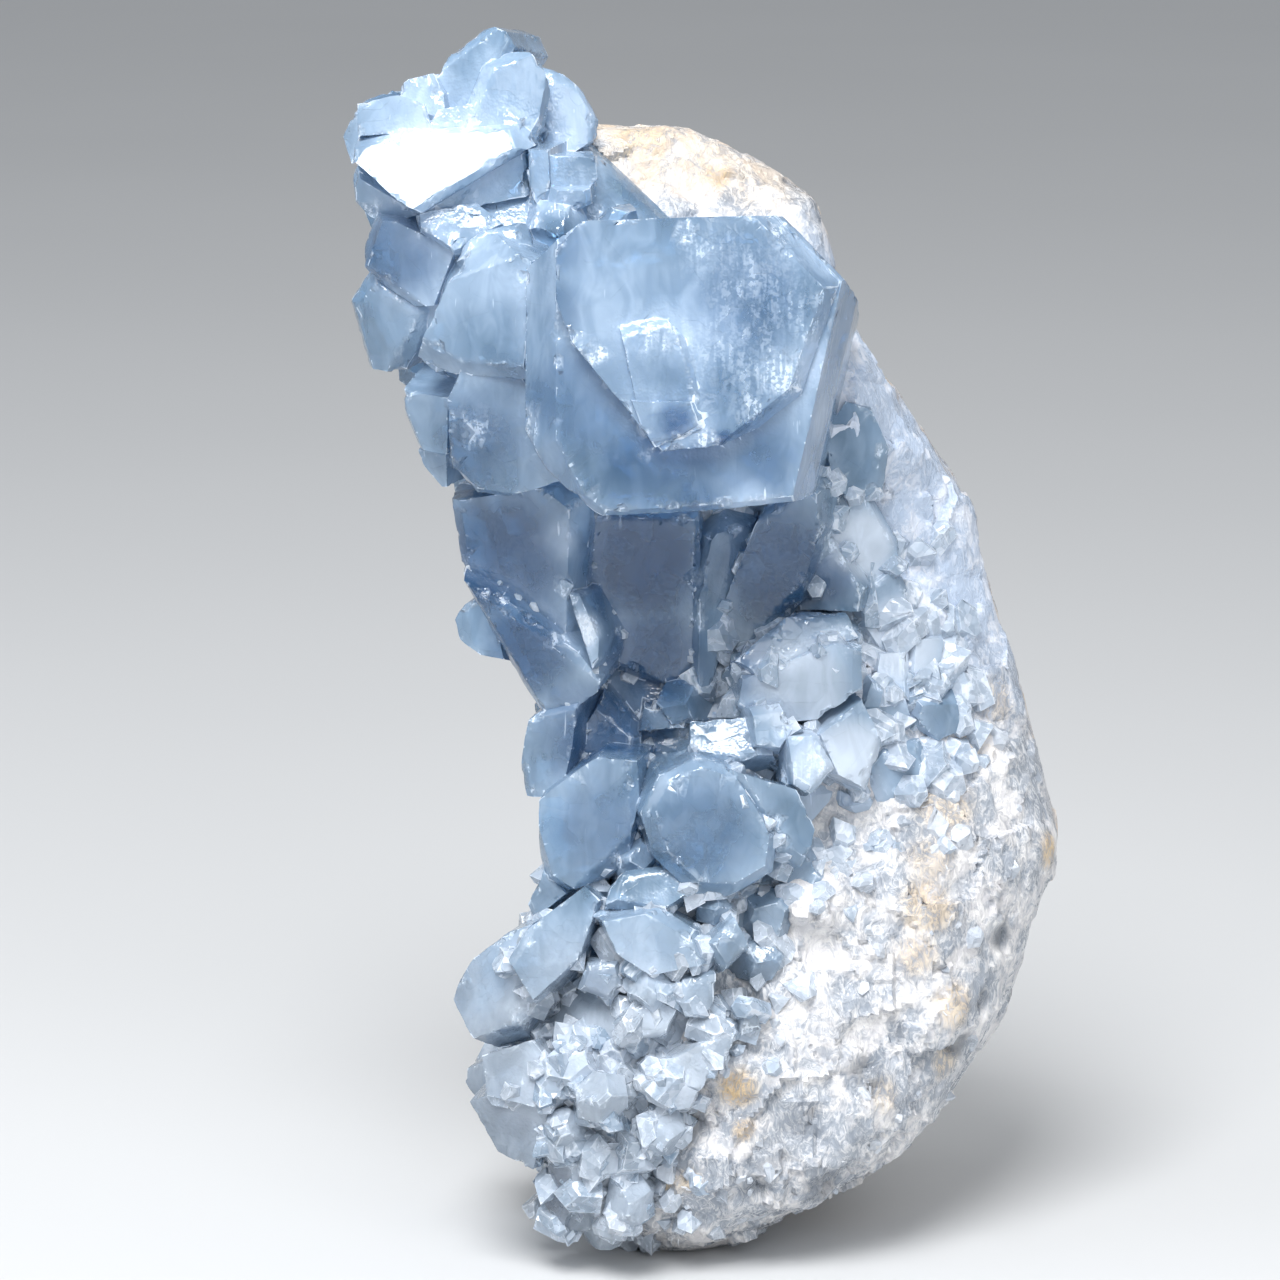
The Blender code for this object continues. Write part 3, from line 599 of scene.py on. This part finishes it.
def grow(name, seeds, shapes, draw, box):
    """One mesh of small crystals; a seed is its place, direction, size, width, milkiness and tone."""
    all_points, all_faces, milky, tone, edge = [], [], [], [], []
    start = 0
    for place, growth, size, width, milk, shade in seeds:
        points, faces, rim = draw.choice(shapes)
        spin = Matrix.Rotation(draw.uniform(0, 2 * math.pi), 3, "Z")
        turn = growth.to_track_quat("Z", "Y").to_matrix() @ spin
        stretch = np.array([width * draw.uniform(0.8, 1.2), width * draw.uniform(0.8, 1.2), 1.0])
        placed = (points * stretch * size) @ np.array(turn).T + np.array(place)
        all_points.append(placed)
        all_faces.append(faces + start)
        milky += [milk] * len(points)
        tone += [shade] * len(points)
        edge.append(rim)
        start += len(points)
    points = inside_box(np.concatenate(all_points), box)
    data = bpy.data.meshes.new(name)
    data.from_pydata(points.tolist(), [], np.concatenate(all_faces).tolist())
    set_attribute(data, "milky", np.array(milky))
    set_attribute(data, "tone", np.array(tone))
    set_attribute(data, "edge", np.concatenate(edge).astype(float))
    data.update()
    return add_object(name, data)


def leaning(normal, reach, draw):
    """A direction near a normal, off it by up to about this share each way."""
    lean = Vector([draw.uniform(-reach, reach) for _ in range(3)])
    return (normal + lean).normalized()


def shuffled(data, share, draw):
    """A share of a mesh's points, with their normals, in a random order."""
    points, normals = points_of(data), normals_of(data)
    order = list(range(len(points)))
    draw.shuffle(order)
    return [(Vector(points[i]), Vector(normals[i])) for i in order[: int(len(order) * share)]]


def druse_seeds(edges, crust_tree, crystals_data, matrix_data, draw):
    """Small crystals in the crust's hollows, all over its foot, and on the matrix close to the crust."""
    seeds = []
    for first, last, outward in edges.hollows:
        length = (last - first).length
        low = (first.z + last.z) / 2 < FOOT_TOP
        if first.z > 112 * MM:
            continue
        right = (first.x + last.x) / 2 > 0 and not low
        for _ in range(int(length / ((4.5 if low or right else 6.0) * MM) + draw.random())):
            place = first.lerp(last, draw.random())
            size = (draw.uniform(2.2, 5.2) if low or right else draw.uniform(0.9, 1.8)) * MM
            seeds.append((place - outward * size * 0.4, leaning(outward, 0.7, draw), size, 1.0,
                          draw.uniform(0.3, 1.0), 0.3 * draw.random() if right else draw.random()))
    for place, normal in shuffled(crystals_data, 0.022, draw):
        if place.z > FOOT_TOP or place.z < 4 * MM or draw.random() < smooth(30 * MM, FOOT_TOP, place.z):
            continue
        if place.x < FOOT_LEFT or normal.y > 0.2:
            continue
        size = (2.4 + 4.2 * draw.random() ** 2) * MM
        seeds.append((place - normal * size * 0.5, leaning(normal, 0.9, draw), size, draw.uniform(0.7, 1.2),
                      draw.uniform(0.1, 1.0), draw.random()))
    reach = 8 * MM
    for place, normal in shuffled(matrix_data, 0.33, draw):
        near = crust_tree.find_nearest(place)[3]
        if near > reach or near < 0.3 * MM or draw.random() > 0.11 * (1 - near / reach) + 0.005:
            continue
        if normal.y > 0.3 or place.z > 98 * MM:
            continue
        upper = smooth(54 * MM, 62 * MM, place.z)
        size = draw.uniform(2.2 + 1.6 * upper, 5.6 + 1.6 * upper) * MM * (1 - 0.4 * near / reach)
        seeds.append((place - normal * size * 0.4, leaning(normal, 0.8, draw), size, 1.0 + 0.2 * upper,
                      draw.uniform(0.7, 1.3), draw.random() * (1 - 0.7 * upper)))
    return seeds


def grain_seeds(matrix_data, crust_tree, draw):
    """Blunt grains of the matrix, in patches of its broken surface."""
    seeds = []
    for place, normal in shuffled(matrix_data, 0.1, draw):
        crowd = noise.noise(place / (7 * MM)) + 0.15
        if draw.random() > crowd * 0.45 or place.z < 2 * MM or place.z > 118 * MM:
            continue
        if normal.y > 0.0 or normal.x > 0.75 or crust_tree.find_nearest(place)[3] < 1.0 * MM:
            continue
        upper = place.z > 78 * MM
        if upper and draw.random() < 0.9:
            continue
        size = (1.4 + 3.4 * draw.random() ** 2) * MM
        seeds.append((place - normal * size * 0.55, leaning(normal, 0.9, draw), size, 1.0,
                      draw.uniform(0.0, 1.0), 1.0 if upper else 0.0))
    return seeds


def fibre_seeds(matrix_data, draw):
    """White fibres of the matrix, lying in fans on its lower front."""
    seeds = []
    for place, normal in shuffled(matrix_data, 0.03, draw):
        fan = noise.noise_vector(place / (11 * MM))
        crowd = noise.noise(place / (5 * MM) + Vector((3, 1, 2)))
        if place.z > 76 * MM or place.z < 2 * MM or normal.y > 0.1 or normal.x > 0.6 or crowd < 0.1:
            continue
        along = (fan - normal * fan.dot(normal) + normal * draw.uniform(0.0, 0.25) * fan.length).normalized()
        size = draw.uniform(0.8, 2.0) * MM
        seeds.append((place - along * size * 0.3 - normal * 0.1 * MM, leaning(along, 0.25, draw), size,
                      draw.uniform(0.12, 0.2), draw.uniform(0.6, 1.0), 0.0))
    return seeds


class Graph:
    """A material's node tree, built by short calls."""

    def __init__(self, name):
        self.material = bpy.data.materials.new(name)
        self.material.use_nodes = True
        self.tree = self.material.node_tree
        self.shader = self.tree.nodes["Principled BSDF"]
        self.output = self.tree.nodes["Material Output"]
        self.place = self.add("ShaderNodeTexCoord").outputs["Object"]

    def add(self, kind, **settings):
        node = self.tree.nodes.new(kind)
        for key, value in settings.items():
            setattr(node, key, value)
        return node

    def put(self, socket, value):
        if isinstance(value, bpy.types.NodeSocket):
            self.tree.links.new(value, socket)
        elif hasattr(socket.default_value, "__len__") and len(socket.default_value) == 4:
            socket.default_value = (*value, 1.0)
        else:
            socket.default_value = value

    def attribute(self, name):
        return self.add("ShaderNodeAttribute", attribute_name=name).outputs["Fac"]

    def noise(self, size, detail=3.0, rough=0.55, stretch=(1, 1, 1), warp=0.0):
        scale = self.add("ShaderNodeMapping")
        self.put(scale.inputs["Vector"], self.place)
        scale.inputs["Scale"].default_value = stretch
        node = self.add("ShaderNodeTexNoise")
        self.put(node.inputs["Vector"], scale.outputs["Vector"])
        node.inputs["Scale"].default_value = 1 / size
        node.inputs["Detail"].default_value = detail
        node.inputs["Roughness"].default_value = rough
        node.inputs["Distortion"].default_value = warp
        return node.outputs["Fac"]

    def cells(self, size, feature="F1", warp=0.0):
        node = self.add("ShaderNodeTexVoronoi", feature=feature)
        place = self.warped(warp) if warp else self.place
        self.put(node.inputs["Vector"], place)
        node.inputs["Scale"].default_value = 1 / size
        return node.outputs["Distance"]

    def broken(self, size, slope, warp=0.0, metric="EUCLIDEAN"):
        """A surface of flat tilted faces of about this size: its height, and each face's own number."""
        place = self.warped(warp) if warp else self.place
        node = self.add("ShaderNodeTexVoronoi", distance=metric)
        self.put(node.inputs["Vector"], place)
        node.inputs["Scale"].default_value = 1 / size
        away = self.vector("SUBTRACT", place, node.outputs["Position"])
        tilt = self.vector("SUBTRACT", node.outputs["Color"], Vector((0.5, 0.5, 0.5)))
        height = self.math("MULTIPLY", self.vector("DOT_PRODUCT", away, tilt), 2 * slope)
        split = self.add("ShaderNodeSeparateColor")
        self.put(split.inputs["Color"], node.outputs["Color"])
        return height, split.outputs["Red"]

    def total(self, first, *others):
        """A sum that may be below 0 or above 1."""
        for other in others:
            node = self.add("ShaderNodeMath", operation="ADD")
            self.put(node.inputs[0], first)
            self.put(node.inputs[1], other)
            first = node.outputs["Value"]
        return first

    def warped(self, reach):
        """The place moved a little by noise, so that cells have bent sides."""
        wave = self.add("ShaderNodeTexNoise")
        self.put(wave.inputs["Vector"], self.place)
        wave.inputs["Scale"].default_value = 1 / (4 * MM)
        moved = self.add("ShaderNodeVectorMath", operation="MULTIPLY_ADD")
        self.put(moved.inputs[0], self.vector("SUBTRACT", wave.outputs["Color"], Vector((0.5, 0.5, 0.5))))
        moved.inputs[1].default_value = (reach, reach, reach)
        self.put(moved.inputs[2], self.place)
        return moved.outputs["Vector"]

    def vector(self, operation, first, second, scale=None):
        node = self.add("ShaderNodeVectorMath", operation=operation)
        self.put(node.inputs[0], first)
        if second is not None:
            self.put(node.inputs[1], second)
        if scale is not None:
            self.put(node.inputs["Scale"], scale)
        return node.outputs["Value" if operation in ("DOT_PRODUCT", "LENGTH") else "Vector"]

    def fit(self, value, low, high, start=0.0, end=1.0):
        node = self.add("ShaderNodeMapRange", clamp=True)
        self.put(node.inputs["Value"], value)
        for key, number in (("From Min", low), ("From Max", high), ("To Min", start), ("To Max", end)):
            node.inputs[key].default_value = number
        return node.outputs["Result"]

    def math(self, operation, first, second=0.0):
        node = self.add("ShaderNodeMath", operation=operation, use_clamp=operation in ("ADD", "SUBTRACT"))
        self.put(node.inputs[0], first)
        self.put(node.inputs[1], second)
        return node.outputs["Value"]

    def mix(self, share, first, second):
        node = self.add("ShaderNodeMix", data_type="RGBA")
        self.put(node.inputs[0], share)
        self.put(node.inputs[6], first)
        self.put(node.inputs[7], second)
        return node.outputs[2]

    def bump(self, height, distance, strength=1.0):
        node = self.add("ShaderNodeBump")
        self.put(node.inputs["Height"], height)
        node.inputs["Distance"].default_value = distance
        node.inputs["Strength"].default_value = strength
        return node.outputs["Normal"]


def crystal_material(tree):
    """Clear blue celestite with milky veils, pale edges, fine cracks and frosted, chipped places. One frosted spot
    is a painted glint, and some milkiness is painted light in shaded crevices and gaps.
    """
    g = Graph("clear_celestite")
    wear_and_glint, milky, clear, edge, hollow, veil, foot = (
        g.attribute(name) for name in ("wear_and_glint", "milky", "clear", "edge", "hollow", "veil", "foot")
    )
    wisps = g.noise(3 * MM, 2, 0.6, stretch=(1, 1, 0.5), warp=0.8)
    streaks = g.noise(0.7 * MM, 1, 0.5, stretch=(1.0, 1.0, 0.12))
    grit = g.noise(0.6 * MM, 1, 0.75)
    broad, _ = g.broken(8 * MM, 0.04, metric="MANHATTAN")
    steps, step_tone = g.broken(3.2 * MM, 0.12, metric="MANHATTAN")
    plain = g.math("SUBTRACT", 1.0, clear)
    milk = g.math("ADD", g.fit(veil, 0.1, 0.9, 0.0, 0.46), g.fit(wisps, 0.42, 0.75, 0.0, 0.18))
    milk = g.math("MULTIPLY", milk, g.fit(plain, 0.0, 1.0, 0.35, 1.0))
    # Milky marks whiten the crystals; on the middle right they are partly painted light in shaded gaps
    milk = g.math("ADD", milk, g.math("MULTIPLY", milky, 0.55))
    # Crevices between crystals made milkier: partly their frosted contact lines, partly painted light that lifts
    # the shade falling there
    milk = g.math("ADD", milk, g.math("MULTIPLY", hollow, 0.20))
    # Frost from chips and wear, and from the painted glint among the worn marks: whiter, rougher, less clear
    frost = g.math("MULTIPLY", wear_and_glint, g.fit(grit, 0.40, 0.56, 0.25, 1.0))
    frost = g.math("MULTIPLY", frost, g.fit(streaks, 0.42, 0.56, 0.3, 1.0))
    frost = g.math("MULTIPLY", frost, g.fit(step_tone, 0.3, 0.5, 0.45, 1.0))
    frost = g.math("ADD", frost, g.math("MULTIPLY", g.fit(edge, 0.70, 0.88), g.fit(wisps, 0.40, 0.62, 0.0, 0.6)))
    scratches = g.math("MULTIPLY", g.fit(streaks, 0.74, 0.78), g.fit(veil, 0.5, 0.9, 0.0, 0.5))
    frost = g.math("ADD", frost, scratches)
    deep = g.mix(clear, (0.30, 0.50, 0.72), (0.05, 0.19, 0.43))
    body = g.mix(g.math("ADD", milk, g.math("MULTIPLY", frost, 0.4)), deep, (0.60, 0.73, 0.91))
    body = g.mix(g.math("MULTIPLY", foot, 0.6), body, (0.68, 0.74, 0.82))
    bright = g.math("MAXIMUM", g.math("MULTIPLY", frost, 0.9), g.fit(milky, 0.5, 1.0, 0.0, 0.6))
    g.put(g.shader.inputs["Base Color"], g.mix(bright, body, (0.80, 0.86, 0.93)))
    white = g.math("ADD", milk, frost)
    g.put(g.shader.inputs["Transmission Weight"], g.fit(white, 0.0, 1.0, 0.75, 0.12))
    rough = g.math("ADD", g.fit(wisps, 0.4, 0.7, 0.06, 0.2), g.math("MULTIPLY", frost, 0.45))
    g.put(g.shader.inputs["Roughness"], rough)
    g.shader.inputs["IOR"].default_value = 1.62
    rugged = g.fit(g.math("ADD", wear_and_glint, g.math("ADD", hollow, foot)), 0.0, 0.6, 0.01 * MM, 0.10 * MM)
    relief = g.total(broad, g.math("MULTIPLY", streaks, 0.03 * MM), g.math("MULTIPLY", grit, rugged))
    relief = g.total(relief, g.math("MULTIPLY", steps, g.fit(g.math("ADD", wear_and_glint, foot), 0.05, 0.5)))
    g.put(g.shader.inputs["Normal"], g.bump(relief, 1.0))
    haze = g.add("ShaderNodeVolumeAbsorption")
    haze.inputs["Color"].default_value = (0.32, 0.66, 0.90, 1.0)
    haze.inputs["Density"].default_value = 42.0
    g.put(g.output.inputs["Volume"], haze.outputs["Volume"])
    return g.material


def druse_material():
    """Small crystals: clear to milky, with pale edges and uneven faces."""
    g = Graph("small_celestite")
    tone, milky, edge = g.attribute("tone"), g.attribute("milky"), g.attribute("edge")
    veils = g.noise(2 * MM, 2, 0.6, warp=0.8)
    relief, face_tone = g.broken(1.3 * MM, 0.22)
    white = g.math("ADD", g.math("MULTIPLY", milky, 0.5), g.fit(veils, 0.4, 0.7, 0.0, 0.3))
    white = g.math("ADD", white, g.fit(face_tone, 0.5, 1.0, 0.0, 0.25))
    rims = g.math("MULTIPLY", g.fit(edge, 0.3, 0.8), g.fit(veils, 0.38, 0.6, 0.0, 0.6))
    deep = g.mix(tone, (0.34, 0.51, 0.71), (0.50, 0.59, 0.70))
    body = g.mix(white, deep, (0.74, 0.80, 0.89))
    g.put(g.shader.inputs["Base Color"], g.mix(rims, body, (0.86, 0.89, 0.93)))
    g.put(g.shader.inputs["Transmission Weight"], g.fit(g.math("ADD", white, rims), 0.0, 1.0, 0.55, 0.0))
    g.put(g.shader.inputs["Roughness"], g.fit(veils, 0.35, 0.7, 0.1, 0.4))
    g.shader.inputs["IOR"].default_value = 1.62
    g.put(g.shader.inputs["Normal"], g.bump(relief, 1.0))
    return g.material


def matrix_tones(g, face_tone):
    """The matrix's colour, and how white and powdery it is, from 0 to 1."""
    blue, rind, rim, pit_shade = (g.attribute(name) for name in ("blue", "rind", "rim", "pit_shade"))
    stain, white, clear = (g.attribute(name) for name in ("stain", "white", "clear"))
    fibres = g.noise(1.5 * MM, 3, 0.75, stretch=(1.0, 1.0, 0.6), warp=1.8)
    patches = g.fit(g.noise(5.0 * MM, 3, 0.7, warp=1.2), 0.42, 0.58, 0.1, 0.9)
    powder = g.math("SUBTRACT", g.math("ADD", patches, g.math("MULTIPLY", white, 0.45)),
                    g.math("MULTIPLY", clear, 0.9))
    powder = g.math("ADD", powder, g.fit(fibres, 0.5, 0.62, 0.0, 0.5))
    grains = g.math("ADD", g.fit(fibres, 0.40, 0.62, 0.0, 0.7), g.fit(face_tone, 0.0, 1.0, 0.0, 0.3))
    grey = g.mix(grains, (0.28, 0.32, 0.38), (0.54, 0.57, 0.62))
    pale = g.mix(grains, (0.66, 0.65, 0.67), (0.88, 0.87, 0.86))
    lilac = g.mix(g.math("MULTIPLY", g.fit(powder, 0.2, 1.0, 0.3, 1.0), g.fit(face_tone, 0.0, 0.7, 0.55, 1.0)),
                  (0.40, 0.52, 0.70), (0.76, 0.81, 0.91))
    colour = g.mix(powder, grey, pale)
    colour = g.mix(g.math("MULTIPLY", blue, 0.85), colour, lilac)
    rock, crack_shade = g.attribute("rock"), g.attribute("crack_shade")
    shell = g.mix(g.fit(rock, 0.15, 0.55), (0.46, 0.36, 0.26), (0.52, 0.50, 0.47))
    shell = g.mix(g.fit(rock, 0.5, 0.9), shell, (0.76, 0.71, 0.63))
    shell = g.mix(g.math("MULTIPLY", grains, 0.45), shell, (0.80, 0.78, 0.74))
    # Painted shade: the rind's cracks are darkened to dark brown
    shell = g.mix(g.math("MULTIPLY", crack_shade, 0.55), shell, (0.24, 0.19, 0.14))
    colour = g.mix(g.math("MULTIPLY", rind, 0.9), colour, shell)
    warm = g.mix(grains, (0.62, 0.47, 0.33), (0.82, 0.76, 0.68))
    colour = g.mix(g.math("MULTIPLY", rim, g.fit(patches, 0.1, 0.9, 0.2, 0.9)), colour, warm)
    rust = g.mix(grains, (0.42, 0.25, 0.09), (0.76, 0.60, 0.38))
    speckled = g.math("MULTIPLY", stain, g.fit(fibres, 0.40, 0.55, 0.2, 1.0))
    colour = g.mix(speckled, colour, rust)
    # Painted shade: the pits are darkened nearly to black
    colour = g.mix(g.math("MULTIPLY", pit_shade, 0.8), colour, (0.12, 0.14, 0.17))
    return colour, powder, fibres


def matrix_material():
    """Granular white celestite, its grey and blue patches, its rust stains and its tan rind, with painted shade
    darkening the rind's cracks and the pits.
    """
    g = Graph("granular_celestite_finish")
    broad, broad_tone = g.broken(2.6 * MM, 0.22)
    colour, powder, fibres = matrix_tones(g, broad_tone)
    g.put(g.shader.inputs["Base Color"], colour)
    g.put(g.shader.inputs["Roughness"], g.fit(powder, 0.0, 1.0, 0.18, 0.7))
    g.shader.inputs["IOR"].default_value = 1.6
    relief = g.total(broad, g.math("MULTIPLY", fibres, 0.4 * MM))
    g.put(g.shader.inputs["Normal"], g.bump(relief, 1.0, 0.8))
    return g.material


def grain_material():
    """The blunt grains of the matrix: white to grey, or pale blue in its upper part."""
    g = Graph("grain_celestite")
    milky, upper = g.attribute("milky"), g.attribute("tone")
    relief, face_tone = g.broken(1.2 * MM, 0.3)
    grains = g.fit(g.noise(1.3 * MM, 4, 0.7, warp=1.5), 0.4, 0.6, 0.0, 0.3)
    white = g.math("ADD", g.math("MULTIPLY", milky, 0.5), g.math("ADD", grains, g.math("MULTIPLY", face_tone, 0.2)))
    grey = g.mix(white, (0.38, 0.44, 0.52), (0.74, 0.77, 0.82))
    lilac = g.mix(white, (0.46, 0.57, 0.74), (0.68, 0.75, 0.87))
    g.put(g.shader.inputs["Base Color"], g.mix(upper, grey, lilac))
    g.put(g.shader.inputs["Roughness"], g.fit(white, 0.0, 1.0, 0.15, 0.6))
    g.shader.inputs["IOR"].default_value = 1.6
    g.put(g.shader.inputs["Normal"], g.bump(relief, 1.0))
    return g.material


def fibre_material():
    """White fibres, opaque and silky."""
    g = Graph("fibrous_celestite")
    streaks = g.fit(g.noise(0.8 * MM, 4, 0.7, warp=1.0), 0.4, 0.6)
    g.put(g.shader.inputs["Base Color"], g.mix(streaks, (0.68, 0.71, 0.76), (0.86, 0.88, 0.91)))
    g.put(g.shader.inputs["Roughness"], g.fit(streaks, 0.0, 1.0, 0.3, 0.6))
    return g.material


def floor_material():
    g = Graph("pale_floor")
    g.put(g.shader.inputs["Base Color"], g.mix(g.noise(0.3, 2), (0.62, 0.63, 0.64), (0.66, 0.67, 0.68)))
    g.shader.inputs["Roughness"].default_value = 0.7
    return g.material


def make_floor():
    mesh = bmesh.new()
    bmesh.ops.create_circle(mesh, cap_ends=True, segments=96, radius=9.0)
    data = bpy.data.meshes.new("floor")
    mesh.to_mesh(data)
    mesh.free()
    floor = add_object("floor", data)
    floor.data.materials.append(floor_material())


def add_light(name, direction, distance, size, power, colour=(1, 1, 1)):
    """A square soft lamp in a direction from the middle of the specimen, facing it."""
    middle = Vector((0, 0, 0.085))
    lamp = bpy.data.lights.new(name, "AREA")
    lamp.shape = "SQUARE"
    lamp.size = size
    lamp.energy = power
    lamp.color = colour
    made = bpy.data.objects.new(name, lamp)
    bpy.context.scene.collection.objects.link(made)
    out = Vector(direction).normalized()
    made.location = middle + out * distance
    made.rotation_euler = out.to_track_quat("Z", "Y").to_euler()


def make_world():
    world = bpy.data.worlds.new("studio")
    world.use_nodes = True
    sky = world.node_tree.nodes["Background"]
    sky.inputs["Color"].default_value = (0.90, 0.93, 0.97, 1.0)
    sky.inputs["Strength"].default_value = 0.46
    scene = bpy.context.scene
    scene.world = world
    scene.view_settings.view_transform = "Standard"
    scene.cycles.max_bounces = 6
    scene.cycles.diffuse_bounces = 2
    scene.cycles.glossy_bounces = 2
    scene.cycles.transmission_bounces = 5
    scene.cycles.caustics_reflective = False


def make_camera():
    camera = bpy.data.cameras.new("camera")
    camera.sensor_width = SENSOR
    camera.lens = FOCAL_PX / FRAME_PX * SENSOR
    camera.clip_end = 30.0
    made = bpy.data.objects.new("camera", camera)
    bpy.context.scene.collection.objects.link(made)
    made.location = EYE
    made.rotation_euler = (math.pi / 2 - PITCH, 0.0, 0.0)
    bpy.context.scene.camera = made


def finish_piece(piece, material, slot, *replaced):
    piece.data.materials.clear()
    piece.data.materials.append(material)
    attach(piece, "root")
    if replaced:
        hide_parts(*replaced)


def main():
    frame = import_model()
    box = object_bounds()
    nodes = frame["nodes"]
    make_world()
    make_camera()
    make_floor()
    add_light("key", (-0.16, -0.545, 0.824), 0.9, 0.45, 10.5)
    add_light("fill", (0.40, -0.76, 0.52), 1.5, 0.9, 5.5)
    add_light("side", (-0.80, -0.15, 0.58), 1.5, 0.8, 3.5)
    draw = random.Random(SEED + 1)
    cad_matrix = bmesh_of(nodes["matrix"])
    cad_tree = BVHTree.FromBMesh(cad_matrix)
    cad_matrix.free()
    crystals, edges, crust_tree = make_crystals(nodes["crystal_crust"], cad_tree, box)
    matrix = make_matrix(nodes["matrix"], box)
    shapes = [unit_crystal(draw) for _ in range(24)]
    druse_places = druse_seeds(edges, crust_tree, crystals.data, matrix.data, draw)
    druse = grow("small_crystals", druse_places, shapes, draw, box)
    grains = grow("matrix_grains", grain_seeds(matrix.data, crust_tree, draw), shapes, draw, box)
    fibres = grow("white_fibres", fibre_seeds(matrix.data, draw), shapes, draw, box)
    finish_piece(crystals, crystal_material(crust_tree), "celestite", "crystal_crust")
    finish_piece(matrix, matrix_material(), "granular_celestite", "matrix")
    finish_piece(druse, druse_material(), "celestite")
    finish_piece(grains, grain_material(), "granular_celestite")
    finish_piece(fibres, fibre_material(), "granular_celestite")
    for piece in (crystals, matrix, druse, grains, fibres):
        print("piece", piece.name, sum(len(p.vertices) - 2 for p in piece.data.polygons), "triangles")


main()
